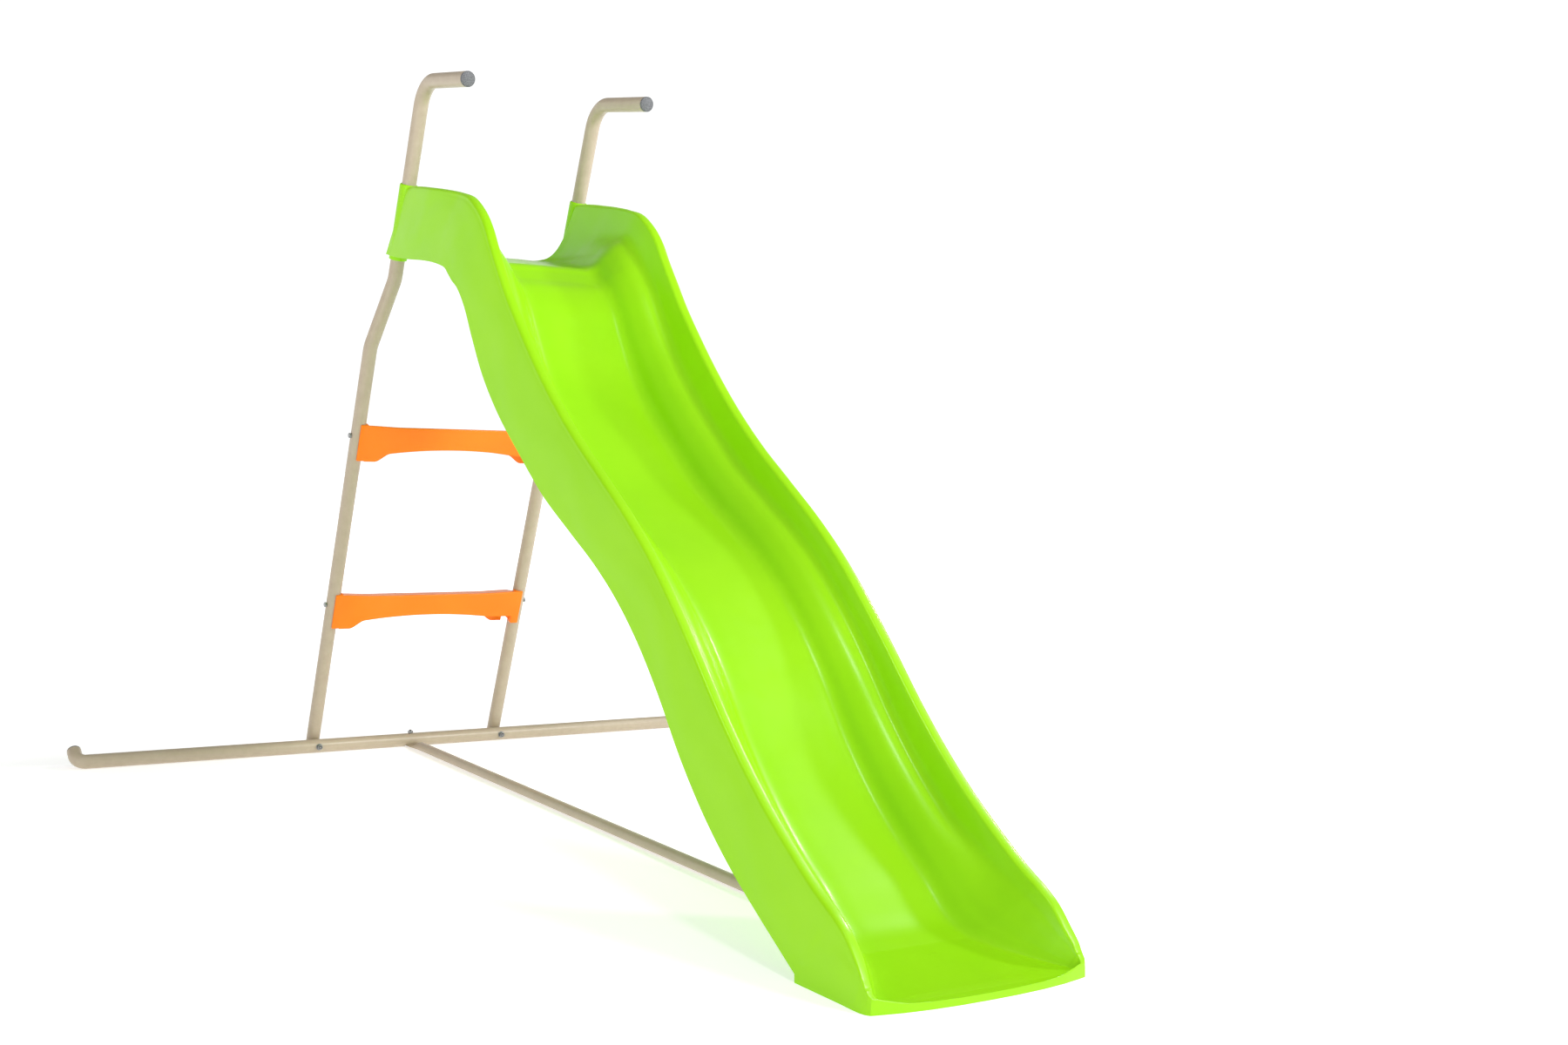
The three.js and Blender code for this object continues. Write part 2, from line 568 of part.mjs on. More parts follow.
// Points of one station: the upper skin, and the matching points of the underside.
function stationPoints(row, k) {
  const [rimY, rimZ, edgeY, edgeZ] = row;
  const rim = new THREE.Vector2(rimY, rimZ);
  const edge = new THREE.Vector2(edgeY, edgeZ);
  const rise = rim.clone().sub(edge);
  const depth = rise.length();
  rise.normalize();
  const across = new THREE.Vector2(rise.y, -rise.x);
  const lifted = edge.clone().addScaledVector(rise, FLOOR_LIFT);
  const floor = row.length > 4 ? new THREE.Vector2(row[4], row[5]) : lifted;
  const floorUp = floor.clone().sub(edge).dot(rise);
  const floorBack = floor.clone().sub(edge).dot(across);

  const sectionY = k <= BULKHEAD_STATIONS ? STATIONS[0][2] : edgeY;
  const section = halfSection(sectionY);
  const footX = section[1][0];
  const innerX = section[INNER_WALL.length][0];
  const inward = k === 1 || k === 2 ? LIP_INSET : 0;
  const half = section.map(([x, share, drop, setback]) => ({
    x: x - inward * Math.sin(Math.PI * THREE.MathUtils.clamp((x - footX) / (innerX - footX), 0, 1)),
    up: THREE.MathUtils.lerp(floorUp, depth, share) - drop * depth,
    back: floorBack * setback,
  }));
  const isBulkhead = k < BULKHEAD_STATIONS;
  const isNose = edgeY < NOSE_START;
  const flangeFoot = floor.clone().setY(floor.y - FLANGE_DROP);
  const skirtX = half[half.length - 1].x;
  const under = half.map((p, j) => {
    if (isNose) return { ...p, up: 0, back: 0 };
    if (isBulkhead) {
      const outward = THREE.MathUtils.clamp((p.x - footX) / (skirtX - footX), 0, 1);
      const forward = THREE.MathUtils.smoothstep(outward, 0.15, 0.5);
      const x = THREE.MathUtils.lerp(flangeFoot.x, edge.x, forward);
      const z = THREE.MathUtils.lerp(flangeFoot.y, edge.y, outward);
      return { x: p.x, at: new THREE.Vector2(x, z) };
    }
    const before = half[Math.max(j - 1, 0)];
    const after = half[Math.min(j + 1, half.length - 1)];
    const along = new THREE.Vector2(after.x - before.x, after.up - before.up).normalize();
    if (j === 0) along.set(1, 0);
    if (j === half.length - 1) along.set(0, -1);
    return { x: p.x + along.y * SKIN, up: p.up - along.x * SKIN, back: p.back };
  });
  const place = (p, side) => {
    const point = p.at ?? edge.clone().addScaledVector(rise, p.up).addScaledVector(across, p.back);
    return vec(side * p.x, point.x, point.y);
  };
  const mirrored = (points) => [
    ...points.slice(1).reverse().map((p) => place(p, -1)),
    ...points.map((p) => place(p, 1)),
  ];
  return { skin: mirrored(half), under: mirrored(under) };
}

function chuteShell() {
  const rows = STATIONS.map(stationPoints);
  const rings = rows.map(({ skin, under }) => [...skin, ...under.slice().reverse()]);
  const count = rings[0].length;
  const half = count / 2;
  const positions = [];
  const index = [];
  for (const loop of rings) loop.forEach((p) => positions.push(p.x, p.y, p.z));
  for (let i = 0; i < rings.length - 1; i += 1) {
    for (let j = 0; j < count; j += 1) {
      const a = i * count + j;
      const b = i * count + ((j + 1) % count);
      index.push(a, a + count, b + count, a, b + count, b);
    }
  }
  const last = (rings.length - 1) * count;
  for (let j = 0; j < half - 1; j += 1) {
    const [a, b, c, d] = [j, j + 1, count - 2 - j, count - 1 - j];
    index.push(a, b, c, a, c, d);
    index.push(last + a, last + c, last + b, last + a, last + d, last + c);
  }
  const geometry = new THREE.BufferGeometry();
  geometry.setAttribute('position', new THREE.Float32BufferAttribute(positions, 3));
  geometry.setIndex(index);
  return solid(geometry);
}

function chute() {
  let body = chuteShell();
  for (const side of [-1, 1]) {
    const low = legAxis(side, LEG_HALF_TOP, SLEEVE_Z[0]);
    const high = legAxis(side, LEG_HALF_TOP, SLEEVE_Z[1]);
    body = body.add(rod(low, high, SLEEVE_R, 20));
    const reach = up.clone().multiplyScalar(CUT);
    body = body.subtract(rod(low.sub(reach), high.add(reach), TUBE_R + GAP, TUBE_SIDES));
    const screw = legAxis(side, LEG_HALF_TOP, CHUTE_SCREW_Z);
    const outside = screw.clone().addScaledVector(back, CUT);
    body = body.subtract(rod(screw, outside, CHUTE_SCREW.hole, 8));
  }
  const bossFoot = STRUT_CHUTE_Z + STRUT_FLAT.thick / 2 + GAP / 2;
  const onBoss = (z) => vec(0, STRUT_SCREW_Y, z);
  body = body.add(rod(onBoss(bossFoot), onBoss(BOSS_TOP_Z), BOSS_R, 16));
  return body.subtract(rod(onBoss(0), onBoss(BOSS_HOLE_Z), HOLE_R, 10));
}

// ---------------------------------------------------------------- the slide

const slide = new THREE.Group();
slide.add(piece('chute', chute(), lime));
slide.add(piece('ground_bar', groundBar(), beige));
slide.add(piece('ground_strut', strut(), beige));

for (const [level, z] of Object.entries(STEP_BOLT_Z)) {
  const mesh = piece(`${level}_step`, step(), orange);
  mesh.position.set(0, legY(z), z);
  slide.add(mesh);
}

for (const [name, side] of [['left', -1], ['right', 1]]) {
  slide.add(piece(`${name}_leg_tube`, legTube(side), beige));
  slide.add(piece(`${name}_handle_cap`, handleCap(side), greyPlastic));
  slide.add(piece(`${name}_bar_plug`, barPlug(side), greyPlastic));

  const inward = vec(-side, 0, 0);
  for (const [level, z] of Object.entries(STEP_BOLT_Z)) {
    const head = vec(side * (LEG_HALF_LOW + TUBE_R + GAP), legY(z), z);
    const wallInside = vec(side * (STEP_HALF - STEP_SKIN - GAP), legY(z), z);
    slide.add(piece(`${name}_${level}_step_bolt`, bolt(head, inward, STEP_BOLT_LENGTH), zinc));
    slide.add(piece(`${name}_${level}_step_nut`, nut(wallInside, inward), zinc));
  }

  const x = side * LEG_HALF_LOW;
  const footHead = vec(x, legY(BAR_Z) + TUBE_R / Math.cos(LEAN) + FOOT_HEAD_GAP, BAR_Z);
  const barFace = vec(x, barY - TUBE_R - GAP, BAR_Z);
  const nutFace = barFace.clone().setY(barFace.y - WASHER.thick - GAP);
  const forward = vec(0, -1, 0);
  const footLength = footHead.y - nutFace.y + NUT_H + 1.5;
  slide.add(piece(`${name}_foot_bolt`, bolt(footHead, forward, footLength), zinc));
  const washer = nut(barFace, forward, WASHER.thick, WASHER.radius, 14);
  slide.add(piece(`${name}_foot_washer`, washer, zinc));
  slide.add(piece(`${name}_foot_nut`, nut(nutFace, forward), zinc));

  const screwSeat = legAxis(side, LEG_HALF_TOP, CHUTE_SCREW_Z).addScaledVector(back, SLEEVE_R + GAP);
  const screwTip = screwSeat.clone().addScaledVector(back, -CHUTE_SCREW.depth);
  const screwTop = screwSeat.clone().addScaledVector(back, CHUTE_SCREW.headHeight);
  const screw = rod(screwSeat, screwTop, CHUTE_SCREW.head, 12);
  const shank = rod(screwTop, screwTip, CHUTE_SCREW.shank, 8);
  slide.add(piece(`${name}_chute_screw`, screw.add(shank), zinc));
}

const strutHead = vec(0, barY, STRUT_BAR_Z - STRUT_FLAT.thick / 2 - GAP / 2);
slide.add(piece('strut_bar_bolt', bolt(strutHead, vec(0, 0, 1), 33.5, 7, 12, 2.2), zinc));
slide.add(piece('strut_bar_nut', nut(vec(0, barY, BAR_Z + TUBE_R + GAP), vec(0, 0, 1)), zinc));
const chuteHead = vec(0, STRUT_SCREW_Y, STRUT_CHUTE_Z - STRUT_FLAT.thick / 2 - GAP);
slide.add(piece('strut_chute_bolt', bolt(chuteHead, vec(0, 0, 1), 11.5, 6.5, 12, 3), zinc));

const extent = new THREE.Box3().setFromObject(slide);
slide.position.set(0, -(extent.min.y + extent.max.y) / 2, -extent.min.z);

export default slide;
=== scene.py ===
import math

import bmesh
import bpy
import numpy as np
from mathutils import Matrix, Vector


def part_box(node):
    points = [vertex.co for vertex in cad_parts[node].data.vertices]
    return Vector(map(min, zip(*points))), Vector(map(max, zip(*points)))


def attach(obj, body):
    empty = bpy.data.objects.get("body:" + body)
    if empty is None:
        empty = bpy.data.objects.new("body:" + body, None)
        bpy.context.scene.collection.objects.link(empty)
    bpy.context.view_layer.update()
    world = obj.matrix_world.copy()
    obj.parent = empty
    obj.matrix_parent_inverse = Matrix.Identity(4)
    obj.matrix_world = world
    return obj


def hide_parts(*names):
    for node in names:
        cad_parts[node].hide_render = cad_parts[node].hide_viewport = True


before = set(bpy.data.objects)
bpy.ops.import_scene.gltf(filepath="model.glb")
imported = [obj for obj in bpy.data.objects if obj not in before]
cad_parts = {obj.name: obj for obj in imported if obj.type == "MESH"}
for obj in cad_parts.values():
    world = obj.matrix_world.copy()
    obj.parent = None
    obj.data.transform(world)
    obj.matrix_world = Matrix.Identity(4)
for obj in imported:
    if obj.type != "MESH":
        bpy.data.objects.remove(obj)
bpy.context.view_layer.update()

BODY = "root"

# ---------------------------------------------------------------- dimensions, in metres

CHUTE_NOSE_Y = -1.517              # the lip's middle, in the chute stations' own count
SHIFT_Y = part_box("chute")[0].y - CHUTE_NOSE_Y    # stations to the frame's y

TUBE_R = 0.014
TUBE_WALL = 0.0015
GAP = 0.0004
LEAN = math.radians(19.36)
LEG_FOOT_Y = 0.333
LEG_HALF_LOW = 0.2143
LEG_HALF_TOP = 0.1846
JOGGLE_Z = (0.850, 0.980)
JOGGLE_BEND_R = 0.09
HANDLE_CORNER_Z = 1.339
HANDLE_END = (-0.329, 1.3085)
HANDLE_BEND_R = 0.056

BAR_Z = 0.0145
BAR_HALF = 0.714
BAR_END_RISE = (0.026, 0.017)
BAR_BEND_R = 0.018
BAR_POCKET_SIDE = 0.0015           # room beside the strut's end in the bar's pocket
BAR_POCKET_REACH = 0.02
BAR_POCKET_FLAT_HALF = 0.011       # half width of the plate that closes the pocket

BAR_PLUG_DEPTH = 0.011
HANDLE_PLUG_DEPTH = 0.016
PLUG_SEAT_GAP = 0.0003
PLUG_STEM_R = 0.0118
PLUG_STEM_TIP_R = 0.0105
PLUG_STEM_TAPER = 0.002
# A plug's head from its edge inwards: distance in from the edge, and height.
PLUG_EDGE = [
    (0.0006, 0.0), (0, 0.0006), (0, 0.0020), (0.0004, 0.0026), (0.0012, 0.0031),
    (0.0016, 0.0028), (0.0024, 0.0031), (0.0050, 0.0037),
]
PLUG_CROWN = [(0.4, 0.0041), (0.12, 0.0042)]    # share of the head's radius, and height

STRUT_R = 0.0095
STRUT_FLAT_HALF = 0.0135
STRUT_FLAT_THICK = 0.0026
STRUT_BAR_Z = 0.00405
STRUT_RUN_Z = 0.0098
STRUT_CHUTE_Z = 0.0084
STRUT_SCREW_Y = -1.392
STRUT_MIDDLE_Y = -0.5
STRUT_TAB = 0.013                  # how far the strut runs on past its bolts
STRUT_TAB_CORNER = 0.009
STRUT_TAB_NARROWING = 0.55
STRUT_BAR_PRESS = (0.066, 0.022)   # where the pressing starts and is complete, from the bolt
STRUT_CHUTE_PRESS = (0.062, 0.020)
STRUT_BAR_RUN = 0.09               # where the even run starts, from the bolt
STRUT_CHUTE_RUN = 0.08
STRUT_FLAT_POWER = 0.35            # how square a pressed section's corners are: 1 is round

STEP_BOLT_Z = {"lower": 0.324, "upper": 0.675}
STEP_HALF = LEG_HALF_LOW - TUBE_R - GAP
STEP_SKIN = 0.0034
STEP_FRONT = -0.018
STEP_BACK = 0.036
STEP_BACK_LIFT = 0.003             # the rear flange is this much shorter
STEP_TOP = 0.018
STEP_ROUNDING = 0.0045
STEP_ARCH = -0.035                 # front face's bottom where its arch starts
STEP_ARCH_RISE = 0.009
STEP_ARCH_END = 0.143
STEP_LUG_END = 0.178
STEP_LUG = -0.052
STEP_END_RISE = 0.0024             # the tread's ends are slightly raised
STEP_END_START = 0.6               # and rise from this share of the half length
STEP_AXLE_HALF = 0.25              # half length of the hole for both bolts
RIDGE_HEIGHT = 0.0007
RIDGE_COUNT = 7
RIB_X = 0.060
RIB_FOOT = -0.022
END_WALL_FOOT = -0.043
PLATE_INSET = 0.001                # plates end this far in from the flanges' faces
PLATE_TOP = (0.0235, 0.0066)       # a plate's upper corners, in front and behind
WING_X = 0.2155
WING_LAP = 0.002
WING_BACK = -0.002
WING_INSET = 0.0006
WING_ROUNDING = 0.0016
WING_ROUND_HALF = 0.2              # half length of the round cut that fits the leg

BOLT_R = 0.003
HOLE_R = 0.0034
HOLE_REACH = 0.03
HOLE_BELOW_Z = -0.005              # under everything that a hole is cut in
BAR_HOLE_TOP_Z = 0.04
STRUT_HOLE_TOP_Z = 0.02
HEX_R = 0.0058
HEX_CHAMFER = 0.87                 # share of the head's radius at its end
HEX_CHAMFER_START = 0.82           # share of its height
HEAD_H = 0.004
DOME = [(1, 0), (1, 0.25), (0.9, 0.6), (0.6, 0.9), (0.2, 1)]    # shares of radius and height
NUT_H = 0.005
NUT_CHAMFER = 0.88
NUT_CHAMFER_SHARE = 0.16
NUT_BORE_R = HOLE_R + 0.0001
NUT_BORE_REACH = 0.002
SHANK_R = BOLT_R - 0.00005
BOLT_SIDES = 28
THREAD_LENGTH = 0.012
THREAD_PITCH = 0.001
THREAD_DEPTH = 0.00035
THREAD_END_R = BOLT_R - 0.0004
BOLT_TIP_R = BOLT_R - 0.0012
STEP_BOLT_LENGTH = 0.040
FOOT_HEAD_GAP = 0.0024
FOOT_NUT_SEAT = 0.0016             # from the bar to the nut, over the washer
FOOT_BOLT_END = 0.0015             # bolt that shows past the nut
WASHER_R = 0.007
WASHER_H = 0.0012
# Round-headed bolts: length, head radius, sides (None is round), head height, thread length.
CHUTE_SCREW = (0.010, 0.005, None, 0.0026, 0.005)
CHUTE_SCREW_HOLE_R = 0.0023
STRUT_BAR_BOLT = (0.0335, 0.007, None, 0.0022)
STRUT_CHUTE_BOLT = (0.0115, 0.0065, None, 0.003, 0.008)

MM = 1000.0                        # the chute's stations and tables are in millimetres
CHUTE_SKIN = 0.004
SKIN_MM = CHUTE_SKIN * MM
SLEEVE_R = 0.0176
SLEEVE_Z = (1.018, 1.156)
SLEEVE_ROUND = [(0, 0.003), (0.0008, 0.0009), (0.0024, 0)]    # in from its side, down from its top
SLEEVE_BORE_REACH = 0.04
CHUTE_SCREW_Z = 1.088
FLANGE_DROP = 0.016
BOSS_R = 0.013
BOSS_TOP_Z = 0.0235
BOSS_HOLE_Z = 0.0205


def lerp(a, b, t):
    return a + (b - a) * t


def smoothstep(low, high, value):
    t = np.clip((value - low) / (high - low), 0.0, 1.0)
    return t * t * (3 - 2 * t)


def leg_y(z):
    return LEG_FOOT_Y - z * math.tan(LEAN)


UP = Vector((0, -math.sin(LEAN), math.cos(LEAN)))
BACK = Vector((0, math.cos(LEAN), math.sin(LEAN)))
BAR_Y = leg_y(BAR_Z) - (2 * TUBE_R + GAP) / math.cos(LEAN)


def leg_axis(side, half, z):
    return Vector((side * half, leg_y(z), z))


# ---------------------------------------------------------------- mesh helpers

def add_object(name, vertices, faces):
    mesh = bpy.data.meshes.new(name)
    mesh.from_pydata([tuple(v) for v in vertices], [], faces)
    mesh.validate()
    obj = bpy.data.objects.new(name, mesh)
    bpy.context.scene.collection.objects.link(obj)
    return obj


def outward(obj):
    """Merges doubled points and turns every face outwards."""
    work = bmesh.new()
    work.from_mesh(obj.data)
    bmesh.ops.remove_doubles(work, verts=work.verts, dist=1e-6)
    bmesh.ops.dissolve_degenerate(work, edges=work.edges, dist=1e-7)
    bmesh.ops.recalc_face_normals(work, faces=work.faces)
    work.to_mesh(obj.data)
    work.free()
    return obj


def combine(target, cutter, operation):
    """Boolean of two closed meshes, applied at once."""
    modifier = target.modifiers.new("combine", "BOOLEAN")
    modifier.operation = operation
    modifier.solver = "MANIFOLD"
    modifier.object = cutter
    bpy.context.view_layer.update()
    evaluated = target.evaluated_get(bpy.context.evaluated_depsgraph_get())
    result = bpy.data.meshes.new_from_object(evaluated)
    target.modifiers.clear()
    old = target.data
    target.data = result
    bpy.data.meshes.remove(old)
    spent = cutter.data
    bpy.data.objects.remove(cutter)
    bpy.data.meshes.remove(spent)
    return target


def basis(direction):
    """Two unit vectors square to a direction."""
    direction = direction.normalized()
    helper = Vector((1, 0, 0)) if abs(direction.x) < 0.9 else Vector((0, 0, 1))
    first = direction.cross(helper).normalized()
    return first, direction.cross(first).normalized()


def ring_faces(rings, sides, closed=False):
    """Four-sided faces between neighbouring rings of points; closed joins the last to the first."""
    faces = []
    for i in range(rings if closed else rings - 1):
        following = (i + 1) % rings
        for k in range(sides):
            after = (k + 1) % sides
            faces.append((i * sides + k, i * sides + after,
                          following * sides + after, following * sides + k))
    return faces


def end_faces(rings, sides):
    """Faces that close the first and the last ring."""
    return [tuple(reversed(range(sides))), tuple((rings - 1) * sides + k for k in range(sides))]


def revolved(name, origin, direction, profile, sides=40, polygon=None):
    """An outline of (radius, height) turned about a direction; polygon gives it flat sides."""
    first, second = basis(direction)
    direction = direction.normalized()
    widest = max(radius for radius, _ in profile)
    vertices = []
    for radius, height in profile:
        for k in range(sides):
            angle = 2 * math.pi * k / sides
            reach = radius
            if polygon is not None:
                sector = math.pi / polygon
                folded = (angle % (2 * sector)) - sector
                reach = min(radius, widest * math.cos(sector) / math.cos(folded))
            vertices.append(origin + direction * height
                            + (first * math.cos(angle) + second * math.sin(angle)) * reach)
    faces = ring_faces(len(profile), sides) + end_faces(len(profile), sides)
    return outward(add_object(name, vertices, faces))


def rod(name, start, end, radius, sides=32):
    along = end - start
    return revolved(name, start, along, [(radius, 0), (radius, along.length)], sides)


def block(name, low, high):
    """A box between two corners, for joining to a piece or cutting from it."""
    corners = [Vector((x, y, z)) for x in (low[0], high[0]) for y in (low[1], high[1])
               for z in (low[2], high[2])]
    faces = [(0, 1, 3, 2), (4, 6, 7, 5), (0, 4, 5, 1), (2, 3, 7, 6), (0, 2, 6, 4), (1, 5, 7, 3)]
    return outward(add_object(name, corners, faces))


def finish_piece(obj, material, node, angle=35):
    """Moves a piece into the frame, with its material and the node that it replaces."""
    obj.data.transform(Matrix.Translation((0, SHIFT_Y, 0)))
    obj.data.shade_smooth()
    obj.data.set_sharp_from_angle(angle=math.radians(angle))
    obj.data.materials.clear()
    obj.data.materials.append(material)
    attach(obj, BODY)
    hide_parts(node)


# ---------------------------------------------------------------- materials

class Nodes:
    """A small helper that adds nodes to a material and links them."""

    def __init__(self, name):
        self.material = bpy.data.materials.new(name)
        self.material.use_nodes = True
        self.tree = self.material.node_tree
        self.shader = self.tree.nodes["Principled BSDF"]
        self.coords = self.add("ShaderNodeTexCoord").outputs["Object"]

    def add(self, kind, **settings):
        node = self.tree.nodes.new(kind)
        for key, value in settings.items():
            setattr(node, key, value)
        return node

    def link(self, output, socket):
        self.tree.links.new(output, socket)

    def noise(self, scale, detail=3.0, roughness=0.5, stretch=None):
        node = self.add("ShaderNodeTexNoise")
        node.inputs["Scale"].default_value = scale
        node.inputs["Detail"].default_value = detail
        node.inputs["Roughness"].default_value = roughness
        source = self.coords
        if stretch is not None:
            mapping = self.add("ShaderNodeMapping")
            mapping.inputs["Scale"].default_value = stretch
            self.link(source, mapping.inputs["Vector"])
            source = mapping.outputs["Vector"]
        self.link(source, node.inputs["Vector"])
        return node.outputs["Fac"]

    def remap(self, value, low, high, out_low, out_high):
        node = self.add("ShaderNodeMapRange")
        node.inputs["From Min"].default_value = low
        node.inputs["From Max"].default_value = high
        node.inputs["To Min"].default_value = out_low
        node.inputs["To Max"].default_value = out_high
        self.link(value, node.inputs["Value"])
        return node.outputs["Result"]

    def blend(self, factor, dark, light):
        node = self.add("ShaderNodeMix", data_type="RGBA")
        node.inputs["A"].default_value = (*dark, 1)
        node.inputs["B"].default_value = (*light, 1)
        self.link(factor, node.inputs["Factor"])
        return node.outputs["Result"]

    def bump(self, height, strength, distance, normal=None):
        node = self.add("ShaderNodeBump")
        node.inputs["Strength"].default_value = strength
        node.inputs["Distance"].default_value = distance
        self.link(height, node.inputs["Height"])
        if normal is not None:
            self.link(normal, node.inputs["Normal"])
        return node.outputs["Normal"]

    def set(self, **values):
        for key, value in values.items():
            self.shader.inputs[key.replace("_", " ")].default_value = value


def moulded_plastic(name, dark, light, roughness):
    """Moulded polyethylene: faint clouding, a fine matt grain and slow ripples in the skin."""
    made = Nodes(name)
    cloud = made.remap(made.noise(7.0, 4.0, 0.55), 0.3, 0.7, 0.0, 1.0)
    made.link(made.blend(cloud, dark, light), made.shader.inputs["Base Color"])
    patches = made.noise(38.0, 3.0, 0.6)
    made.link(made.remap(patches, 0.25, 0.75, roughness - 0.05, roughness + 0.06),
              made.shader.inputs["Roughness"])
    ripple = made.bump(made.noise(9.0, 1.0, 0.4), 0.06, 0.004)
    grained = made.bump(made.noise(1400.0, 2.0, 0.5), 0.05, 0.0004, ripple)
    made.link(grained, made.shader.inputs["Normal"])
    made.set(Specular_IOR_Level=0.17, Coat_Weight=0.16, Coat_Roughness=0.17)
    return made.material


def powder_coat(name, dark, light):
    """Satin powder coat on steel tube: orange-peel bump, slight mottling and rubbed patches."""
    made = Nodes(name)
    mottle = made.remap(made.noise(60.0, 4.0, 0.6), 0.3, 0.7, 0.0, 1.0)
    made.link(made.blend(mottle, dark, light), made.shader.inputs["Base Color"])
    rubbed = made.noise(14.0, 3.0, 0.6)
    made.link(made.remap(rubbed, 0.3, 0.75, 0.30, 0.42), made.shader.inputs["Roughness"])
    peel = made.bump(made.noise(700.0, 1.5, 0.5), 0.12, 0.0005)
    made.link(peel, made.shader.inputs["Normal"])
    made.set(Specular_IOR_Level=0.5)
    return made.material


def speckled_plastic(name, dark, light):
    """Hard plastic with fine pale specks and a matt grain."""
    made = Nodes(name)
    speckle = made.remap(made.noise(900.0, 4.0, 0.75), 0.42, 0.62, 0.0, 1.0)
    made.link(made.blend(speckle, dark, light), made.shader.inputs["Base Color"])
    made.link(made.remap(made.noise(120.0), 0.3, 0.7, 0.5, 0.68), made.shader.inputs["Roughness"])
    made.link(made.bump(made.noise(1200.0, 3.0, 0.7), 0.25, 0.0004), made.shader.inputs["Normal"])
    return made.material


def zinc_plate(name):
    """Dull zinc plating: uneven tint and faint turning marks."""
    made = Nodes(name)
    tint = made.remap(made.noise(220.0, 3.0, 0.6), 0.3, 0.7, 0.0, 1.0)
    made.link(made.blend(tint, (0.20, 0.205, 0.215), (0.40, 0.405, 0.41)),
              made.shader.inputs["Base Color"])
    made.link(made.remap(made.noise(500.0), 0.3, 0.7, 0.24, 0.42), made.shader.inputs["Roughness"])
    turned = made.noise(300.0, 2.0, 0.5, stretch=(1.0, 1.0, 8.0))
    made.link(made.bump(turned, 0.12, 0.0003), made.shader.inputs["Normal"])
    made.set(Metallic=1.0)
    return made.material


LIME = moulded_plastic("lime_polyethylene", (0.298, 0.685, 0.003), (0.322, 0.71, 0.005), 0.34)
ORANGE = moulded_plastic("orange_plastic", (0.97, 0.205, 0.006), (1.0, 0.23, 0.009), 0.36)
BEIGE = powder_coat("beige_powder_coat", (0.44, 0.36, 0.26), (0.48, 0.40, 0.295))
GREY = speckled_plastic("grey_speckled_plastic", (0.06, 0.062, 0.068), (0.24, 0.245, 0.26))
ZINC = zinc_plate("zinc_plated_steel")

# ---------------------------------------------------------------- bent tubes


def bent_route(corners, bend_radii, bend_steps=20):
    """A line through corners that are rounded with the given radii."""
    points = [corners[0]]
    for k in range(1, len(corners) - 1):
        into = (corners[k] - corners[k - 1]).normalized()
        out = (corners[k + 1] - corners[k]).normalized()
        turn = into.angle(out)
        radius = bend_radii[k - 1]
        start = corners[k] - into * radius * math.tan(turn / 2)
        side = (out - into * out.dot(into)).normalized()
        for s in range(bend_steps + 1):
            angle = turn * s / bend_steps
            points.append(start + into * radius * math.sin(angle)
                          + side * radius * (1 - math.cos(angle)))
    points.append(corners[-1])
    return points


def even_route(points, spacing=0.03):
    """Adds points along the straight runs, so that no face is very long."""
    filled = [points[0]]
    for a, b in zip(points, points[1:]):
        count = max(1, math.ceil((b - a).length / spacing))
        filled.extend(a.lerp(b, k / count) for k in range(1, count + 1))
    return filled


def tube_rings(points, radius, sides):
    """A ring of points round each point of a line, without twist."""
    tangents = []
    for k, point in enumerate(points):
        before = points[max(k - 1, 0)]
        after = points[min(k + 1, len(points) - 1)]
        tangents.append((after - before).normalized())
    first, _ = basis(tangents[0])
    rings = []
    for point, tangent in zip(points, tangents):
        first = (first - tangent * first.dot(tangent)).normalized()
        second = tangent.cross(first)
        rings.append([point + (first * math.cos(2 * math.pi * k / sides)
                               + second * math.sin(2 * math.pi * k / sides)) * radius
                      for k in range(sides)])
    return rings


def tube(name, points, sides=40):
    """A hollow tube with open ends."""
    points = even_route(points)
    outer = tube_rings(points, TUBE_R, sides)
    inner = tube_rings(points, TUBE_R - TUBE_WALL, sides)
    rings = outer + inner[::-1]
    vertices = [point for ring in rings for point in ring]
    return outward(add_object(name, vertices, ring_faces(len(rings), sides, closed=True)))


def leg_corners(side):
    return [
        leg_axis(side, LEG_HALF_LOW, TUBE_R * math.sin(LEAN)),
        leg_axis(side, LEG_HALF_LOW, JOGGLE_Z[0]),
        leg_axis(side, LEG_HALF_TOP, JOGGLE_Z[1]),
        leg_axis(side, LEG_HALF_TOP, HANDLE_CORNER_Z),
        Vector((side * LEG_HALF_TOP, *HANDLE_END)),
    ]


def bar_corners():
    def end(side, rise_y, rise_z):
        return Vector((side * BAR_HALF, BAR_Y + rise_y, BAR_Z + rise_z))
    return [end(-1, *BAR_END_RISE), end(-1, 0, 0), end(1, 0, 0), end(1, *BAR_END_RISE)]


def plug(name, end, direction, head_radius, depth):
    """Plug with a domed head, a fine rim line and a short stem inside the tube."""
    stem = [(PLUG_STEM_TIP_R, -depth), (PLUG_STEM_R, PLUG_STEM_TAPER - depth), (PLUG_STEM_R, 0.0)]
    edge = [(head_radius - inset, height) for inset, height in PLUG_EDGE]
    crown = [(head_radius * share, height) for share, height in PLUG_CROWN]
    start = end + direction * PLUG_SEAT_GAP
    return revolved(name, start, direction, stem + edge + crown, 48)


def hole(start, end, radius=HOLE_R):
    return rod("hole", start, end, radius, 24)


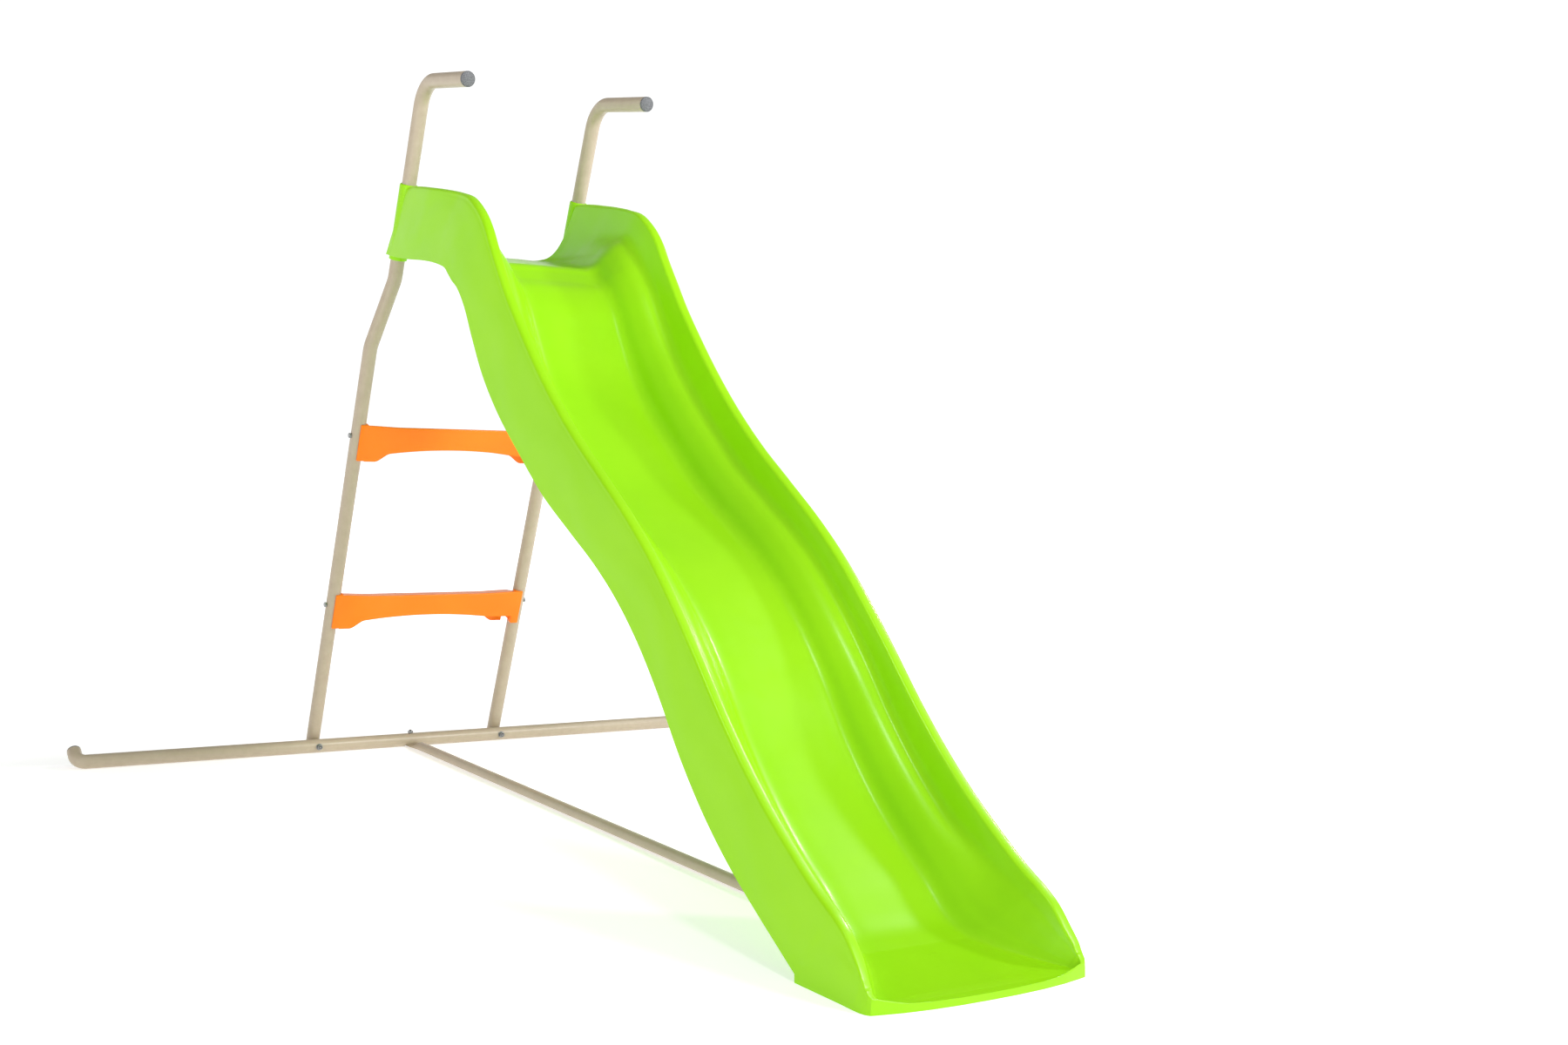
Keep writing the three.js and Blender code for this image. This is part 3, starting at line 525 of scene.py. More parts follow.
def legs_and_caps():
    for name, side in (("left", -1), ("right", 1)):
        corners = leg_corners(side)
        route = bent_route(corners, [JOGGLE_BEND_R, JOGGLE_BEND_R, HANDLE_BEND_R])
        leg = tube(f"{name}_ladder_tube", route)
        reach = Vector((2 * TUBE_R, 0, 0))
        for z in STEP_BOLT_Z.values():
            middle = leg_axis(side, LEG_HALF_LOW, z)
            combine(leg, hole(middle - reach, middle + reach), "DIFFERENCE")
        foot = Vector((side * LEG_HALF_LOW, leg_y(BAR_Z), BAR_Z))
        depth = Vector((0, HOLE_REACH, 0))
        combine(leg, hole(foot - depth, foot + depth), "DIFFERENCE")
        screw = leg_axis(side, LEG_HALF_TOP, CHUTE_SCREW_Z)
        screw_hole = hole(screw, screw + BACK * HOLE_REACH, CHUTE_SCREW_HOLE_R)
        combine(leg, screw_hole, "DIFFERENCE")
        finish_piece(leg, BEIGE, f"{name}_leg_tube")

        direction = (corners[4] - corners[3]).normalized()
        cap = plug(f"{name}_handle_end_cap", corners[4], direction, TUBE_R, HANDLE_PLUG_DEPTH)
        finish_piece(cap, GREY, f"{name}_handle_cap", angle=50)


def ground_bar():
    route = bent_route(bar_corners(), [BAR_BEND_R, BAR_BEND_R], bend_steps=16)
    bar = tube("ground_bar_tube", route)
    pocket_top = STRUT_BAR_Z + STRUT_FLAT_THICK / 2 + GAP / 2
    half = STRUT_FLAT_HALF + BAR_POCKET_SIDE
    cut = block("cut", (-half, BAR_Y - BAR_POCKET_REACH, HOLE_BELOW_Z),
                (half, BAR_Y + BAR_POCKET_REACH, pocket_top))
    combine(bar, cut, "DIFFERENCE")
    flat = block("flat", (-half, BAR_Y - BAR_POCKET_FLAT_HALF, pocket_top),
                 (half, BAR_Y + BAR_POCKET_FLAT_HALF, pocket_top + TUBE_WALL))
    combine(bar, flat, "UNION")
    strut_hole = hole(Vector((0, BAR_Y, HOLE_BELOW_Z)), Vector((0, BAR_Y, BAR_HOLE_TOP_Z)))
    combine(bar, strut_hole, "DIFFERENCE")
    for side in (-1, 1):
        x = side * LEG_HALF_LOW
        foot_hole = hole(Vector((x, BAR_Y - HOLE_REACH, BAR_Z)),
                         Vector((x, BAR_Y + HOLE_REACH, BAR_Z)))
        combine(bar, foot_hole, "DIFFERENCE")
    finish_piece(bar, BEIGE, "ground_bar")

    corners = bar_corners()
    for name, tip, corner in (("left", corners[0], corners[1]), ("right", corners[3], corners[2])):
        cap = plug(f"{name}_bar_end_plug", tip, (tip - corner).normalized(),
                   TUBE_R - PLUG_SEAT_GAP, BAR_PLUG_DEPTH)
        finish_piece(cap, GREY, f"{name}_bar_plug", angle=50)


def ground_strut():
    """A thin tube whose ends are pressed flat, smoothly."""
    def pressed(y):
        at_bar = smoothstep(BAR_Y - STRUT_BAR_PRESS[0], BAR_Y - STRUT_BAR_PRESS[1], y)
        at_chute = smoothstep(STRUT_SCREW_Y + STRUT_CHUTE_PRESS[0],
                              STRUT_SCREW_Y + STRUT_CHUTE_PRESS[1], y)
        return float(max(at_bar, at_chute))

    def middle(y):
        flat_z = STRUT_BAR_Z if y > STRUT_MIDDLE_Y else STRUT_CHUTE_Z
        return lerp(STRUT_RUN_Z, flat_z, pressed(y))

    ys = np.concatenate([
        np.linspace(BAR_Y + STRUT_TAB, BAR_Y - STRUT_BAR_PRESS[0], 26),
        np.linspace(BAR_Y - STRUT_BAR_RUN, STRUT_SCREW_Y + STRUT_CHUTE_RUN, 40),
        np.linspace(STRUT_SCREW_Y + STRUT_CHUTE_PRESS[0], STRUT_SCREW_Y - STRUT_TAB, 26),
    ])
    sides = 36
    vertices = []
    for y in ys:
        flat = pressed(y)
        rounding = 0.0
        for end in (BAR_Y + STRUT_TAB, STRUT_SCREW_Y - STRUT_TAB):
            reach = max(0.0, 1 - abs(y - end) / STRUT_TAB_CORNER)
            rounding = max(rounding, 1 - math.sqrt(max(0.0, 1 - reach * reach)))
        narrowing = 1 - STRUT_TAB_NARROWING * rounding
        half_width = lerp(STRUT_R, STRUT_FLAT_HALF, flat) * narrowing
        half_thick = lerp(STRUT_R, STRUT_FLAT_THICK / 2, flat)
        power = lerp(1.0, STRUT_FLAT_POWER, flat)
        for k in range(sides):
            c = math.cos(2 * math.pi * k / sides)
            s = math.sin(2 * math.pi * k / sides)
            vertices.append((math.copysign(abs(c) ** power, c) * half_width, y,
                             middle(y) + math.copysign(abs(s) ** power, s) * half_thick))
    faces = ring_faces(len(ys), sides) + end_faces(len(ys), sides)
    strut = outward(add_object("ground_strut_tube", vertices, faces))
    for y in (BAR_Y, STRUT_SCREW_Y):
        bolt_hole = hole(Vector((0, y, HOLE_BELOW_Z)), Vector((0, y, STRUT_HOLE_TOP_Z)))
        combine(strut, bolt_hole, "DIFFERENCE")
    finish_piece(strut, BEIGE, "ground_strut")


# ---------------------------------------------------------------- steps

def flange_bottom(x):
    """Bottom of the front flange at x, relative to the bolt: an arch, and a lug at its -X end."""
    arch = STEP_ARCH + STEP_ARCH_RISE * (1 - (min(abs(x), STEP_ARCH_END) / STEP_ARCH_END) ** 2)
    lug = float(smoothstep(-STEP_ARCH_END, -STEP_LUG_END, x))
    return lerp(arch, STEP_LUG, lug)


def tread_top(x):
    """Height of the tread's upper face at x, relative to the bolt."""
    return STEP_TOP + STEP_END_RISE * float(smoothstep(STEP_END_START, 1.0, abs(x) / STEP_HALF))


def step_section(x):
    """Outer line of the step's inverted U at x, as (y, z) points, front bottom to back bottom."""
    bottom = flange_bottom(x)
    back_bottom = flange_bottom(-x) + STEP_BACK_LIFT
    top = tread_top(x)
    slope = math.tan(LEAN)
    front = STEP_FRONT / math.cos(LEAN)
    rear = STEP_BACK / math.cos(LEAN)
    rounding = STEP_ROUNDING
    points = []
    for t in np.linspace(0, 1, 7):
        z = lerp(bottom, top - rounding * 1.1, t)
        points.append((front - z * slope, z))
    corner = Vector((front - top * slope, top))
    into = Vector((-slope, 1)).normalized()
    flat = Vector((1, 0))
    for t in np.linspace(0.12, 1, 7):
        a = corner - into * rounding * (1 - t)
        b = corner + flat * rounding * t
        points.append(tuple(a.lerp(b, t)))
    back_corner = Vector((rear - top * slope, top))
    down = Vector((slope, -1)).normalized()
    for t in np.linspace(0.12, 0.88, 12):
        y = lerp(corner.x + rounding, back_corner.x - rounding, t)
        ridge = RIDGE_HEIGHT * max(0.0, math.sin(t * RIDGE_COUNT * math.pi))
        points.append((y, top + ridge))
    for t in np.linspace(0, 1, 7):
        a = back_corner - flat * rounding * (1 - t)
        b = back_corner + down * rounding * t
        points.append(tuple(a.lerp(b, t)))
    for t in np.linspace(0.2, 1, 6):
        z = lerp(top - rounding, back_bottom, t)
        points.append((rear - z * slope, z))
    return points


def leaning_plate(x0, x1, front, rear, low, top_front, top_rear):
    """A plate square to X that leans with the legs; its distances are along BACK and UP."""
    corners = []
    for x in (x0, x1):
        for d, h in ((front, low), (rear, low), (rear, top_rear), (front, top_front)):
            corners.append(Vector((x, 0, 0)) + BACK * d + UP * h)
    faces = [(0, 1, 2, 3), (7, 6, 5, 4), (0, 4, 5, 1), (1, 5, 6, 2), (2, 6, 7, 3), (3, 7, 4, 0)]
    return outward(add_object("plate", corners, faces))


def step_wing(side):
    """Laps over the front of a leg and hugs its round."""
    low = (STEP_LUG - STEP_FRONT * math.sin(LEAN)) / math.cos(LEAN) + WING_INSET
    high = (STEP_TOP + STEP_END_RISE - STEP_FRONT * math.sin(LEAN)) / math.cos(LEAN) - WING_INSET
    wing_x = sorted((side * (STEP_HALF - WING_LAP), side * WING_X))
    wing = leaning_plate(*wing_x, STEP_FRONT, WING_BACK, low, high, high)
    bevelled = wing.modifiers.new("round", "BEVEL")
    bevelled.width = WING_ROUNDING
    bevelled.segments = 3
    evaluated = wing.evaluated_get(bpy.context.evaluated_depsgraph_get())
    rounded = bpy.data.meshes.new_from_object(evaluated)
    wing.modifiers.clear()
    wing.data = rounded
    axis = Vector((side * LEG_HALF_LOW, 0, 0))
    leg = rod("leg", axis - UP * WING_ROUND_HALF, axis + UP * WING_ROUND_HALF, TUBE_R + GAP, 48)
    return combine(wing, leg, "DIFFERENCE")


def step_shell(name):
    """The inverted U of a step: its outer line, offset inwards by the skin, along X."""
    xs = np.unique(np.concatenate([
        np.linspace(-STEP_HALF, STEP_HALF, 41),
        *[side * np.linspace(STEP_ARCH_END, STEP_LUG_END, 12) for side in (-1, 1)],
    ]).round(6))
    vertices = []
    for x in xs:
        line = [Vector(p) for p in step_section(float(x))]
        offset = []
        for k, p in enumerate(line):
            before = line[max(k - 1, 0)]
            after = line[min(k + 1, len(line) - 1)]
            along = (after - before).normalized()
            offset.append(p + Vector((along.y, -along.x)) * STEP_SKIN)
        vertices += [(x, p.x, p.y) for p in line + offset[::-1]]
    count = len(line)
    loop = 2 * count
    faces = ring_faces(len(xs), loop)
    for i in (0, len(xs) - 1):
        for k in range(count - 1):
            faces.append((i * loop + k, i * loop + k + 1,
                          i * loop + loop - 2 - k, i * loop + loop - 1 - k))
    return outward(add_object(name, vertices, faces))


def step(level):
    body = step_shell(f"{level}_step_tread")
    for side in (-1, 1):
        wall = sorted((side * (STEP_HALF - STEP_SKIN), side * STEP_HALF))
        rib = sorted((side * RIB_X, side * (RIB_X + STEP_SKIN)))
        for xs, foot in ((wall, END_WALL_FOOT), (rib, RIB_FOOT)):
            plate = leaning_plate(*xs, STEP_FRONT + PLATE_INSET, STEP_BACK - PLATE_INSET,
                                  foot, *PLATE_TOP)
            combine(body, plate, "UNION")
        combine(body, step_wing(side), "UNION")
    axle = hole(Vector((-STEP_AXLE_HALF, 0, 0)), Vector((STEP_AXLE_HALF, 0, 0)))
    combine(body, axle, "DIFFERENCE")
    z = STEP_BOLT_Z[level]
    body.data.transform(Matrix.Translation((0, leg_y(z), z)))
    finish_piece(body, ORANGE, f"{level}_step", angle=32)


# ---------------------------------------------------------------- fasteners

def threaded(start_height, end_height):
    """Outline of a thread: fine rings between two heights."""
    points = []
    turns = int((end_height - start_height) / THREAD_PITCH)
    for k in range(turns):
        h = start_height + k * THREAD_PITCH
        points += [(BOLT_R - THREAD_DEPTH, h), (BOLT_R, h + THREAD_PITCH * 0.5)]
    points.append((THREAD_END_R, end_height))
    return points


def bolt(name, head, direction, length, head_radius=HEX_R, polygon=6, head_height=HEAD_H,
         thread=THREAD_LENGTH):
    """Bolt with a chamfered or domed head, a plain shank and a threaded tip."""
    tip_start = length - thread
    body = rod(name, head - direction * head_height * 0.5, head + direction * tip_start,
               SHANK_R, BOLT_SIDES)
    profile = [(THREAD_END_R, tip_start - THREAD_PITCH)]
    profile += threaded(tip_start, length - THREAD_PITCH)
    profile += [(BOLT_TIP_R, length)]
    combine(body, revolved("tip", head, direction, profile, BOLT_SIDES), "UNION")
    if polygon is None:
        dome = [(head_radius * share, -head_height * height) for share, height in DOME]
        crown = revolved("crown", head, direction, dome, 40)
    else:
        shape = [(head_radius, 0), (head_radius, -head_height * HEX_CHAMFER_START),
                 (head_radius * HEX_CHAMFER, -head_height)]
        crown = revolved("crown", head, direction, shape, 48, polygon)
    return combine(body, crown, "UNION")


def nut(name, start, direction, height=NUT_H, radius=HEX_R, polygon=6):
    """Nut with chamfered ends, or a washer where polygon is None."""
    shape = [(radius * NUT_CHAMFER, 0), (radius, height * NUT_CHAMFER_SHARE),
             (radius, height * (1 - NUT_CHAMFER_SHARE)), (radius * NUT_CHAMFER, height)]
    body = revolved(name, start, direction, shape, 48, polygon)
    bore = rod("bore", start - direction * NUT_BORE_REACH,
               start + direction * (height + NUT_BORE_REACH), NUT_BORE_R, BOLT_SIDES)
    return combine(body, bore, "DIFFERENCE")


def finish_metal(obj, node):
    finish_piece(obj, ZINC, node)


def fasteners():
    forward = Vector((0, -1, 0))
    upward = Vector((0, 0, 1))
    for name, side in (("left", -1), ("right", 1)):
        inward = Vector((-side, 0, 0))
        for level, z in STEP_BOLT_Z.items():
            head = Vector((side * (LEG_HALF_LOW + TUBE_R + GAP), leg_y(z), z))
            inside = Vector((side * (STEP_HALF - STEP_SKIN - GAP), leg_y(z), z))
            finish_metal(bolt(f"{name}_{level}_tread_bolt", head, inward, STEP_BOLT_LENGTH),
                         f"{name}_{level}_step_bolt")
            finish_metal(nut(f"{name}_{level}_tread_nut", inside, inward),
                         f"{name}_{level}_step_nut")

        x = side * LEG_HALF_LOW
        head = Vector((x, leg_y(BAR_Z) + TUBE_R / math.cos(LEAN) + FOOT_HEAD_GAP, BAR_Z))
        bar_face = Vector((x, BAR_Y - TUBE_R - GAP, BAR_Z))
        nut_face = bar_face + forward * FOOT_NUT_SEAT
        length = head.y - nut_face.y + NUT_H + FOOT_BOLT_END
        finish_metal(bolt(f"{name}_bar_bolt", head, forward, length), f"{name}_foot_bolt")
        finish_metal(nut(f"{name}_bar_washer", bar_face, forward, WASHER_H, WASHER_R, None),
                     f"{name}_foot_washer")
        finish_metal(nut(f"{name}_bar_nut", nut_face, forward), f"{name}_foot_nut")

        seat = leg_axis(side, LEG_HALF_TOP, CHUTE_SCREW_Z) + BACK * (SLEEVE_R + GAP)
        finish_metal(bolt(f"{name}_socket_screw", seat, -BACK, *CHUTE_SCREW),
                     f"{name}_chute_screw")

    bar_head = Vector((0, BAR_Y, STRUT_BAR_Z - STRUT_FLAT_THICK / 2 - GAP / 2))
    finish_metal(bolt("strut_rear_bolt", bar_head, upward, *STRUT_BAR_BOLT), "strut_bar_bolt")
    nut_start = Vector((0, BAR_Y, BAR_Z + TUBE_R + GAP))
    finish_metal(nut("strut_rear_nut", nut_start, upward), "strut_bar_nut")
    chute_head = Vector((0, STRUT_SCREW_Y, STRUT_CHUTE_Z - STRUT_FLAT_THICK / 2 - GAP))
    finish_metal(bolt("strut_front_bolt", chute_head, upward, *STRUT_CHUTE_BOLT),
                 "strut_chute_bolt")


# ---------------------------------------------------------------- chute

# Stations across the chute, in millimetres: rim y, rim z, skirt edge y, skirt edge z, and
# floor y, floor z where the floor isn't FLOOR_LIFT above the skirt's edge.
FLOOR_LIFT = 19
STATIONS = [
    [-85, 1149, -8, 1028, 38, 1046],
    [-130, 1145, -62, 1017, -22, 1037],
    [-190, 1135.2, -122, 1008, -95, 1025.5],
    [-244, 1125.4, -182, 1001, -165, 1014.5],
    [-298.5, 1113.4, -240, 991.5, -232, 1003.5],
    [-343.5, 1098.9, -286, 979],
    [-382.9, 1071.2, -303, 966],
    [-410.5, 1041.5, -320.5, 952.5],
    [-433.2, 1006.9, -344, 937.5],
    [-461.2, 967.9, -375, 903.5],
    [-497.3, 918.8, -410, 847],
    [-542.5, 866.6, -453, 782],
    [-601.9, 802.8, -516, 714],
    [-670, 737.8, -592, 651],
    [-748.5, 674, -680, 583],
    [-828.9, 617.8, -766, 532],
    [-908.8, 561.4, -847, 485],
    [-978.6, 504.6, -914, 437],
    [-1043.9, 441, -976, 380],
    [-1103.9, 377, -1034, 313],
    [-1164.3, 309.8, -1093, 235],
    [-1224.3, 249.3, -1153, 169],
    [-1284.5, 196.6, -1214, 115],
    [-1340, 155, -1276, 70],
    [-1388, 122, -1332, 32, -1341, 43],
    [-1425, 101, -1363, 11, -1378, 28.5],
]
NOSE_STATIONS = [
    [-1425.8, 100.5, -1363.4, 0, -1379, 28.2],
    [-1450, 83, -1410, 0, -1418, 21],
    [-1472, 58, -1450, 0, -1453, 16],
    [-1485, 41, -1476, 0, -1477, 13],
    [-1491, 31, -1487, 0, -1487.4, 12],
    [-1496.5, 24, -1495, 0, -1495, 11],
    [-1500.5, 19.5, -1500.5, 0, -1500.5, 10.3],
    [-1503, 16.5, -1503.5, 0, -1503, 9.9],
    [-1508.7, 11, -1509.2, 0, -1508.7, 9.5],
    [-1513.5, 9.5, -1514, 0, -1513.5, 9.1],
    [-1516, 9, -1516.5, 0, -1516, 8.8],
    [-1516.5, 9, -1517, 0, -1516.5, 8.8],
]
NOSE_START = -1487.5               # skirt edge y where the nose turns solid
NOSE_NUDGE = np.array([-0.05, -0.02, -0.05, 0, -0.05, 0])    # keeps its first two sections apart
BULKHEAD_SKINS = 1.6               # thickness of the back wall, in skins
BULKHEAD_GAP = 0.4
BULKHEAD_TURN = (0.15, 0.5)        # shares of the width between which its foot turns forward
LIP_INSET = 3.5                    # thickness of the back wall round the lip's corners

SKIRT_HALF = [
    [-400, 203], [-1350, 184.5], [-1450, 181], [-1476, 181], [-1487, 180], [-1495, 178],
    [-1500.5, 174], [-1503.5, 160], [-1509.2, 130], [-1514, 90], [-1516.5, 45], [-1517, 8],
]
RIM_OUTER_INSET = [
    [-130, 8], [-240, 20], [-700, 17], [-1350, 7], [-1450, 4], [-1487, 3], [-1500.5, 1.2],
]
RIM_TOP_INSET = [
    [-130, 20], [-240, 30], [-700, 26], [-1350, 14], [-1450, 9], [-1487, 6.5], [-1500.5, 4.5],
]
RIM_INNER_INSET = [
    [-130, 33], [-300, 40], [-700, 38], [-1350, 27], [-1450, 20], [-1487, 14], [-1500.5, 9],
    [-1509.2, 8], [-1517, 5],
]
FLOOR_HALF = [
    [0, 117], [-122, 107], [-182, 95], [-240, 86], [-324, 79], [-1332, 77], [-1363, 86],
    [-1410, 106], [-1450, 129], [-1476, 146], [-1487, 153], [-1500.5, 157], [-1503.5, 145],
    [-1509.2, 119], [-1514, 82], [-1516.5, 38], [-1517, 2.5],
]
FLOOR_WALL_GAP = 0.4
FLOOR_SHARES = (0.0, 0.34, 0.67)                   # of the floor's half width
# Rim: share of the way from wall to top and height, share from top to outside and drop.
RIM_RISE = [(0.10, 0.968), (0.30, 0.988), (0.62, 0.997), (1.0, 1.0)]
RIM_FALL = [(0.4, 0.002), (0.72, 0.012), (0.92, 0.032), (1.0, 0.062)]
SKIRT_FALL = [(0.10, 0.11), (0.35, 0.3), (0.75, 0.7), (1.0, 1.0)]
PLATFORM = [[-60, 1], [-240, 0.4], [-324, 0]]      # how upright the side walls stand
LEDGE = [[-1220, 1], [-1350, 0]]                   # how clear the ledge in them is

# Inner side from foot to rim. At the platform: share of the width, of the height, and of the
# floor's setback. On the slope: share of the width, of the height with the ledge and without.
INNER_WALL = [
    [0, 0, 1, 0, 0, 0], [0.25, 0.005, 0.94, 0.1, 0.035, 0.035], [0.43, 0.03, 0.78, 0.2, 0.11, 0.1],
    [0.56, 0.085, 0.52, 0.3, 0.235, 0.18], [0.66, 0.17, 0.2, 0.4, 0.335, 0.26],
    [0.715, 0.27, -0.03, 0.52, 0.435, 0.38], [0.76, 0.38, -0.17, 0.66, 0.505, 0.52],
    [0.81, 0.5, -0.22, 0.8, 0.545, 0.68], [0.865, 0.61, -0.21, 0.89, 0.65, 0.78],
    [0.93, 0.767, -0.15, 0.95, 0.82, 0.87], [1, 0.94, -0.05, 1, 0.94, 0.94],
]

RELIEF_HEIGHT = 1.3
RELIEF_LENGTH = 330.0              # of one wave, along the chute
RELIEF_MIDDLE = 0.53               # shares of the skirt's depth
RELIEF_SWING = 0.17
RELIEF_HALF = 0.15
RELIEF_EDGE = 0.07
RELIEF_TOP_DROP = 0.15
RELIEF_NOSE_FADE = (-1470, -1430)
RELIEF_BACK_FADE = (-30, -90)


def ramp(table, y):
    """The value at y in a table of (y, value), with straight lines between its rows."""
    table = sorted(table)
    return float(np.interp(y, [row[0] for row in table], [row[1] for row in table]))


def spline(points, parts):
    """Centripetal Catmull-Rom through rows of numbers; parts new rows for each interval."""
    points = np.asarray(points, float)
    padded = np.vstack([2 * points[0] - points[1], points, 2 * points[-1] - points[-2]])
    rows = []
    for k in range(1, len(padded) - 2):
        p0, p1, p2, p3 = padded[k - 1:k + 3]
        t0 = 0.0
        t1 = t0 + max(np.linalg.norm(p1 - p0), 1e-6) ** 0.5
        t2 = t1 + max(np.linalg.norm(p2 - p1), 1e-6) ** 0.5
        t3 = t2 + max(np.linalg.norm(p3 - p2), 1e-6) ** 0.5
        for t in np.linspace(t1, t2, parts, endpoint=False):
            a1 = (t1 - t) / (t1 - t0) * p0 + (t - t0) / (t1 - t0) * p1
            a2 = (t2 - t) / (t2 - t1) * p1 + (t - t1) / (t2 - t1) * p2
            a3 = (t3 - t) / (t3 - t2) * p2 + (t - t2) / (t3 - t2) * p3
            b1 = (t2 - t) / (t2 - t0) * a1 + (t - t0) / (t2 - t0) * a2
            b2 = (t3 - t) / (t3 - t1) * a2 + (t - t1) / (t3 - t1) * a3
            rows.append((t2 - t) / (t2 - t1) * b1 + (t - t1) / (t2 - t1) * b2)
    rows.append(points[-1])
    return np.array(rows)


def full_station(row):
    """A station with its floor point filled in."""
    rim = np.array(row[0:2], float)
    edge = np.array(row[2:4], float)
    if len(row) > 4:
        return list(row)
    rise = (rim - edge) / np.linalg.norm(rim - edge)
    return [*rim, *edge, *(edge + rise * FLOOR_LIFT)]


def half_section(y, fineness):
    """Half section, centre to skirt edge: half width, then shares of floor-to-rim, of rim-to-edge
    and of the floor's setback."""
    skirt = ramp(SKIRT_HALF, y)
    outer = skirt - ramp(RIM_OUTER_INSET, y)
    top = skirt - ramp(RIM_TOP_INSET, y)
    inner = skirt - ramp(RIM_INNER_INSET, y)
    foot = min(ramp(FLOOR_HALF, y), inner - FLOOR_WALL_GAP)
    platform = ramp(PLATFORM, y)
    ledge = ramp(LEDGE, y)
    wall = []
    for flat_width, flat_rise, flat_back, width, stepped, plain in INNER_WALL:
        slope_rise = lerp(plain, stepped, ledge)
        share = lerp(width, flat_width, platform)
        wall.append([lerp(foot, inner, share), lerp(slope_rise, flat_rise, platform), 0.0,
                     lerp(1 - slope_rise, flat_back, platform)])
    floor = [[foot * share, 0.0, 0.0, 1.0] for share in FLOOR_SHARES]
    rise = [[lerp(inner, top, share), height, 0.0, 0.0] for share, height in RIM_RISE]
    fall = [[lerp(top, outer, share), 1.0, drop, 0.0] for share, drop in RIM_FALL]
    side = [[lerp(outer, skirt, share), 1.0, drop, 0.0] for share, drop in SKIRT_FALL]
    return spline(floor + wall + rise + fall + side, fineness)


def skirt_relief(travel, drop):
    """Soft raised wave along the outer skirts, in millimetres."""
    middle = RELIEF_MIDDLE + RELIEF_SWING * np.sin(2 * np.pi * travel / RELIEF_LENGTH)
    raised = smoothstep(RELIEF_EDGE, 0.0, np.abs(drop - middle) - RELIEF_HALF)
    return RELIEF_HEIGHT * raised * (drop > RELIEF_TOP_DROP)


def under_skin(x, up):
    """The section offset inwards by the skin, level at its middle and plumb at its edge."""
    step_x = np.gradient(x)
    step_up = np.gradient(up)
    length = np.hypot(step_x, step_up)
    along_x, along_up = step_x / length, step_up / length
    along_x[0], along_up[0] = 1.0, 0.0
    along_x[-1], along_up[-1] = 0.0, -1.0
    return x + along_up * SKIN_MM, up - along_x * SKIN_MM


def station_points(row, kind, travel, section_y, inward, fineness=3):
    """Upper and under side of the shell at a station, each as (x, y, z) points from -X to +X."""
    rim, edge, floor = (np.array(row[k:k + 2], float) for k in (0, 2, 4))
    rise = rim - edge
    depth = float(np.linalg.norm(rise))
    rise = rise / depth
    across = np.array([rise[1], -rise[0]])
    floor_up = float((floor - edge) @ rise)
    floor_back = float((floor - edge) @ across)
    x, share, drop, setback = half_section(section_y, fineness).T.copy()
    foot_x = x[len(FLOOR_SHARES) * fineness]
    inner_x = x[(len(FLOOR_SHARES) + len(INNER_WALL) - 1) * fineness]
    x = x - inward * np.sin(np.pi * np.clip((x - foot_x) / (inner_x - foot_x), 0, 1))
    up = lerp(floor_up, depth, share) - drop * depth
    back = floor_back * setback
    fade = smoothstep(*RELIEF_NOSE_FADE, edge[0]) * smoothstep(*RELIEF_BACK_FADE, edge[0])
    x = x + skirt_relief(travel, drop) * fade

    if kind == "nose":
        under = np.stack([x, edge[0] + 0 * x, edge[1] + 0 * x], 1)
    elif kind == "bulkhead":
        out = np.clip((x - foot_x) / (x[-1] - foot_x), 0, 1)
        low = floor[1] - FLANGE_DROP * MM
        under_y = lerp(floor[0], edge[0], smoothstep(*BULKHEAD_TURN, out))
        under = np.stack([x, under_y, lerp(low, edge[1], out)], 1)
    else:
        under_x, under_up = under_skin(x, up)
        yz = edge + np.outer(under_up, rise) + np.outer(back, across)
        under = np.column_stack([under_x, yz])
    yz = edge + np.outer(up, rise) + np.outer(back, across)
    skin_points = np.column_stack([x, yz])

    def mirrored(points):
        left = points[:0:-1] * np.array([-1, 1, 1])
        return np.vstack([left, points])
    return mirrored(skin_points), mirrored(under)


def chute_rows():
    """(station, kind) down the chute: the back bulkhead, the hollow body, then the solid nose."""
    body = spline([full_station(r) for r in STATIONS], 5)
    nose = spline([full_station(r) for r in NOSE_STATIONS], 4)
    direction = (body[1] - body[0]) / np.linalg.norm(body[1] - body[0])
    thickness = SKIN_MM * BULKHEAD_SKINS
    rows = [(body[0], "bulkhead"), (body[0] + direction * thickness, "bulkhead")]
    rows.append((body[0] + direction * (thickness + BULKHEAD_GAP), "hollow"))
    rows += [(r, "hollow") for r in body[2:]]
    was_hollow = True
    for row in nose:
        is_nose = row[2] < NOSE_START
        if is_nose and was_hollow:
            rows.append((row, "hollow"))
            row = row + NOSE_NUDGE
        rows.append((row, "nose" if is_nose else "hollow"))
        was_hollow = not is_nose
    return rows


def chute_shell(name):
    """The moulding before its sockets: sections joined to each other, closed at both ends."""
    rows = chute_rows()
    travel = 0.0
    loops = []
    previous = None
    for number, (row, kind) in enumerate(rows):
        if previous is not None:
            travel += float(np.linalg.norm(row[4:6] - previous[4:6]))
        previous = row
        section_y = rows[0][0][2] if number <= 2 else row[2]
        inward = LIP_INSET if number in (1, 2) else 0
        skin, under = station_points(row, kind, travel, section_y, inward)
        loops.append(np.vstack([skin, under[::-1]]) / MM)
    count = len(loops[0])
    # A section's points run the other way round than a tube's.
    faces = [(quad[0], *quad[:0:-1]) for quad in ring_faces(len(loops), count)]
    last = (len(loops) - 1) * count
    for j in range(count // 2 - 1):
        quad = (j, j + 1, count - 2 - j, count - 1 - j)
        faces.append(quad)
        faces.append(tuple(last + k for k in reversed(quad)))
    return outward(add_object(name, np.vstack(loops), faces))


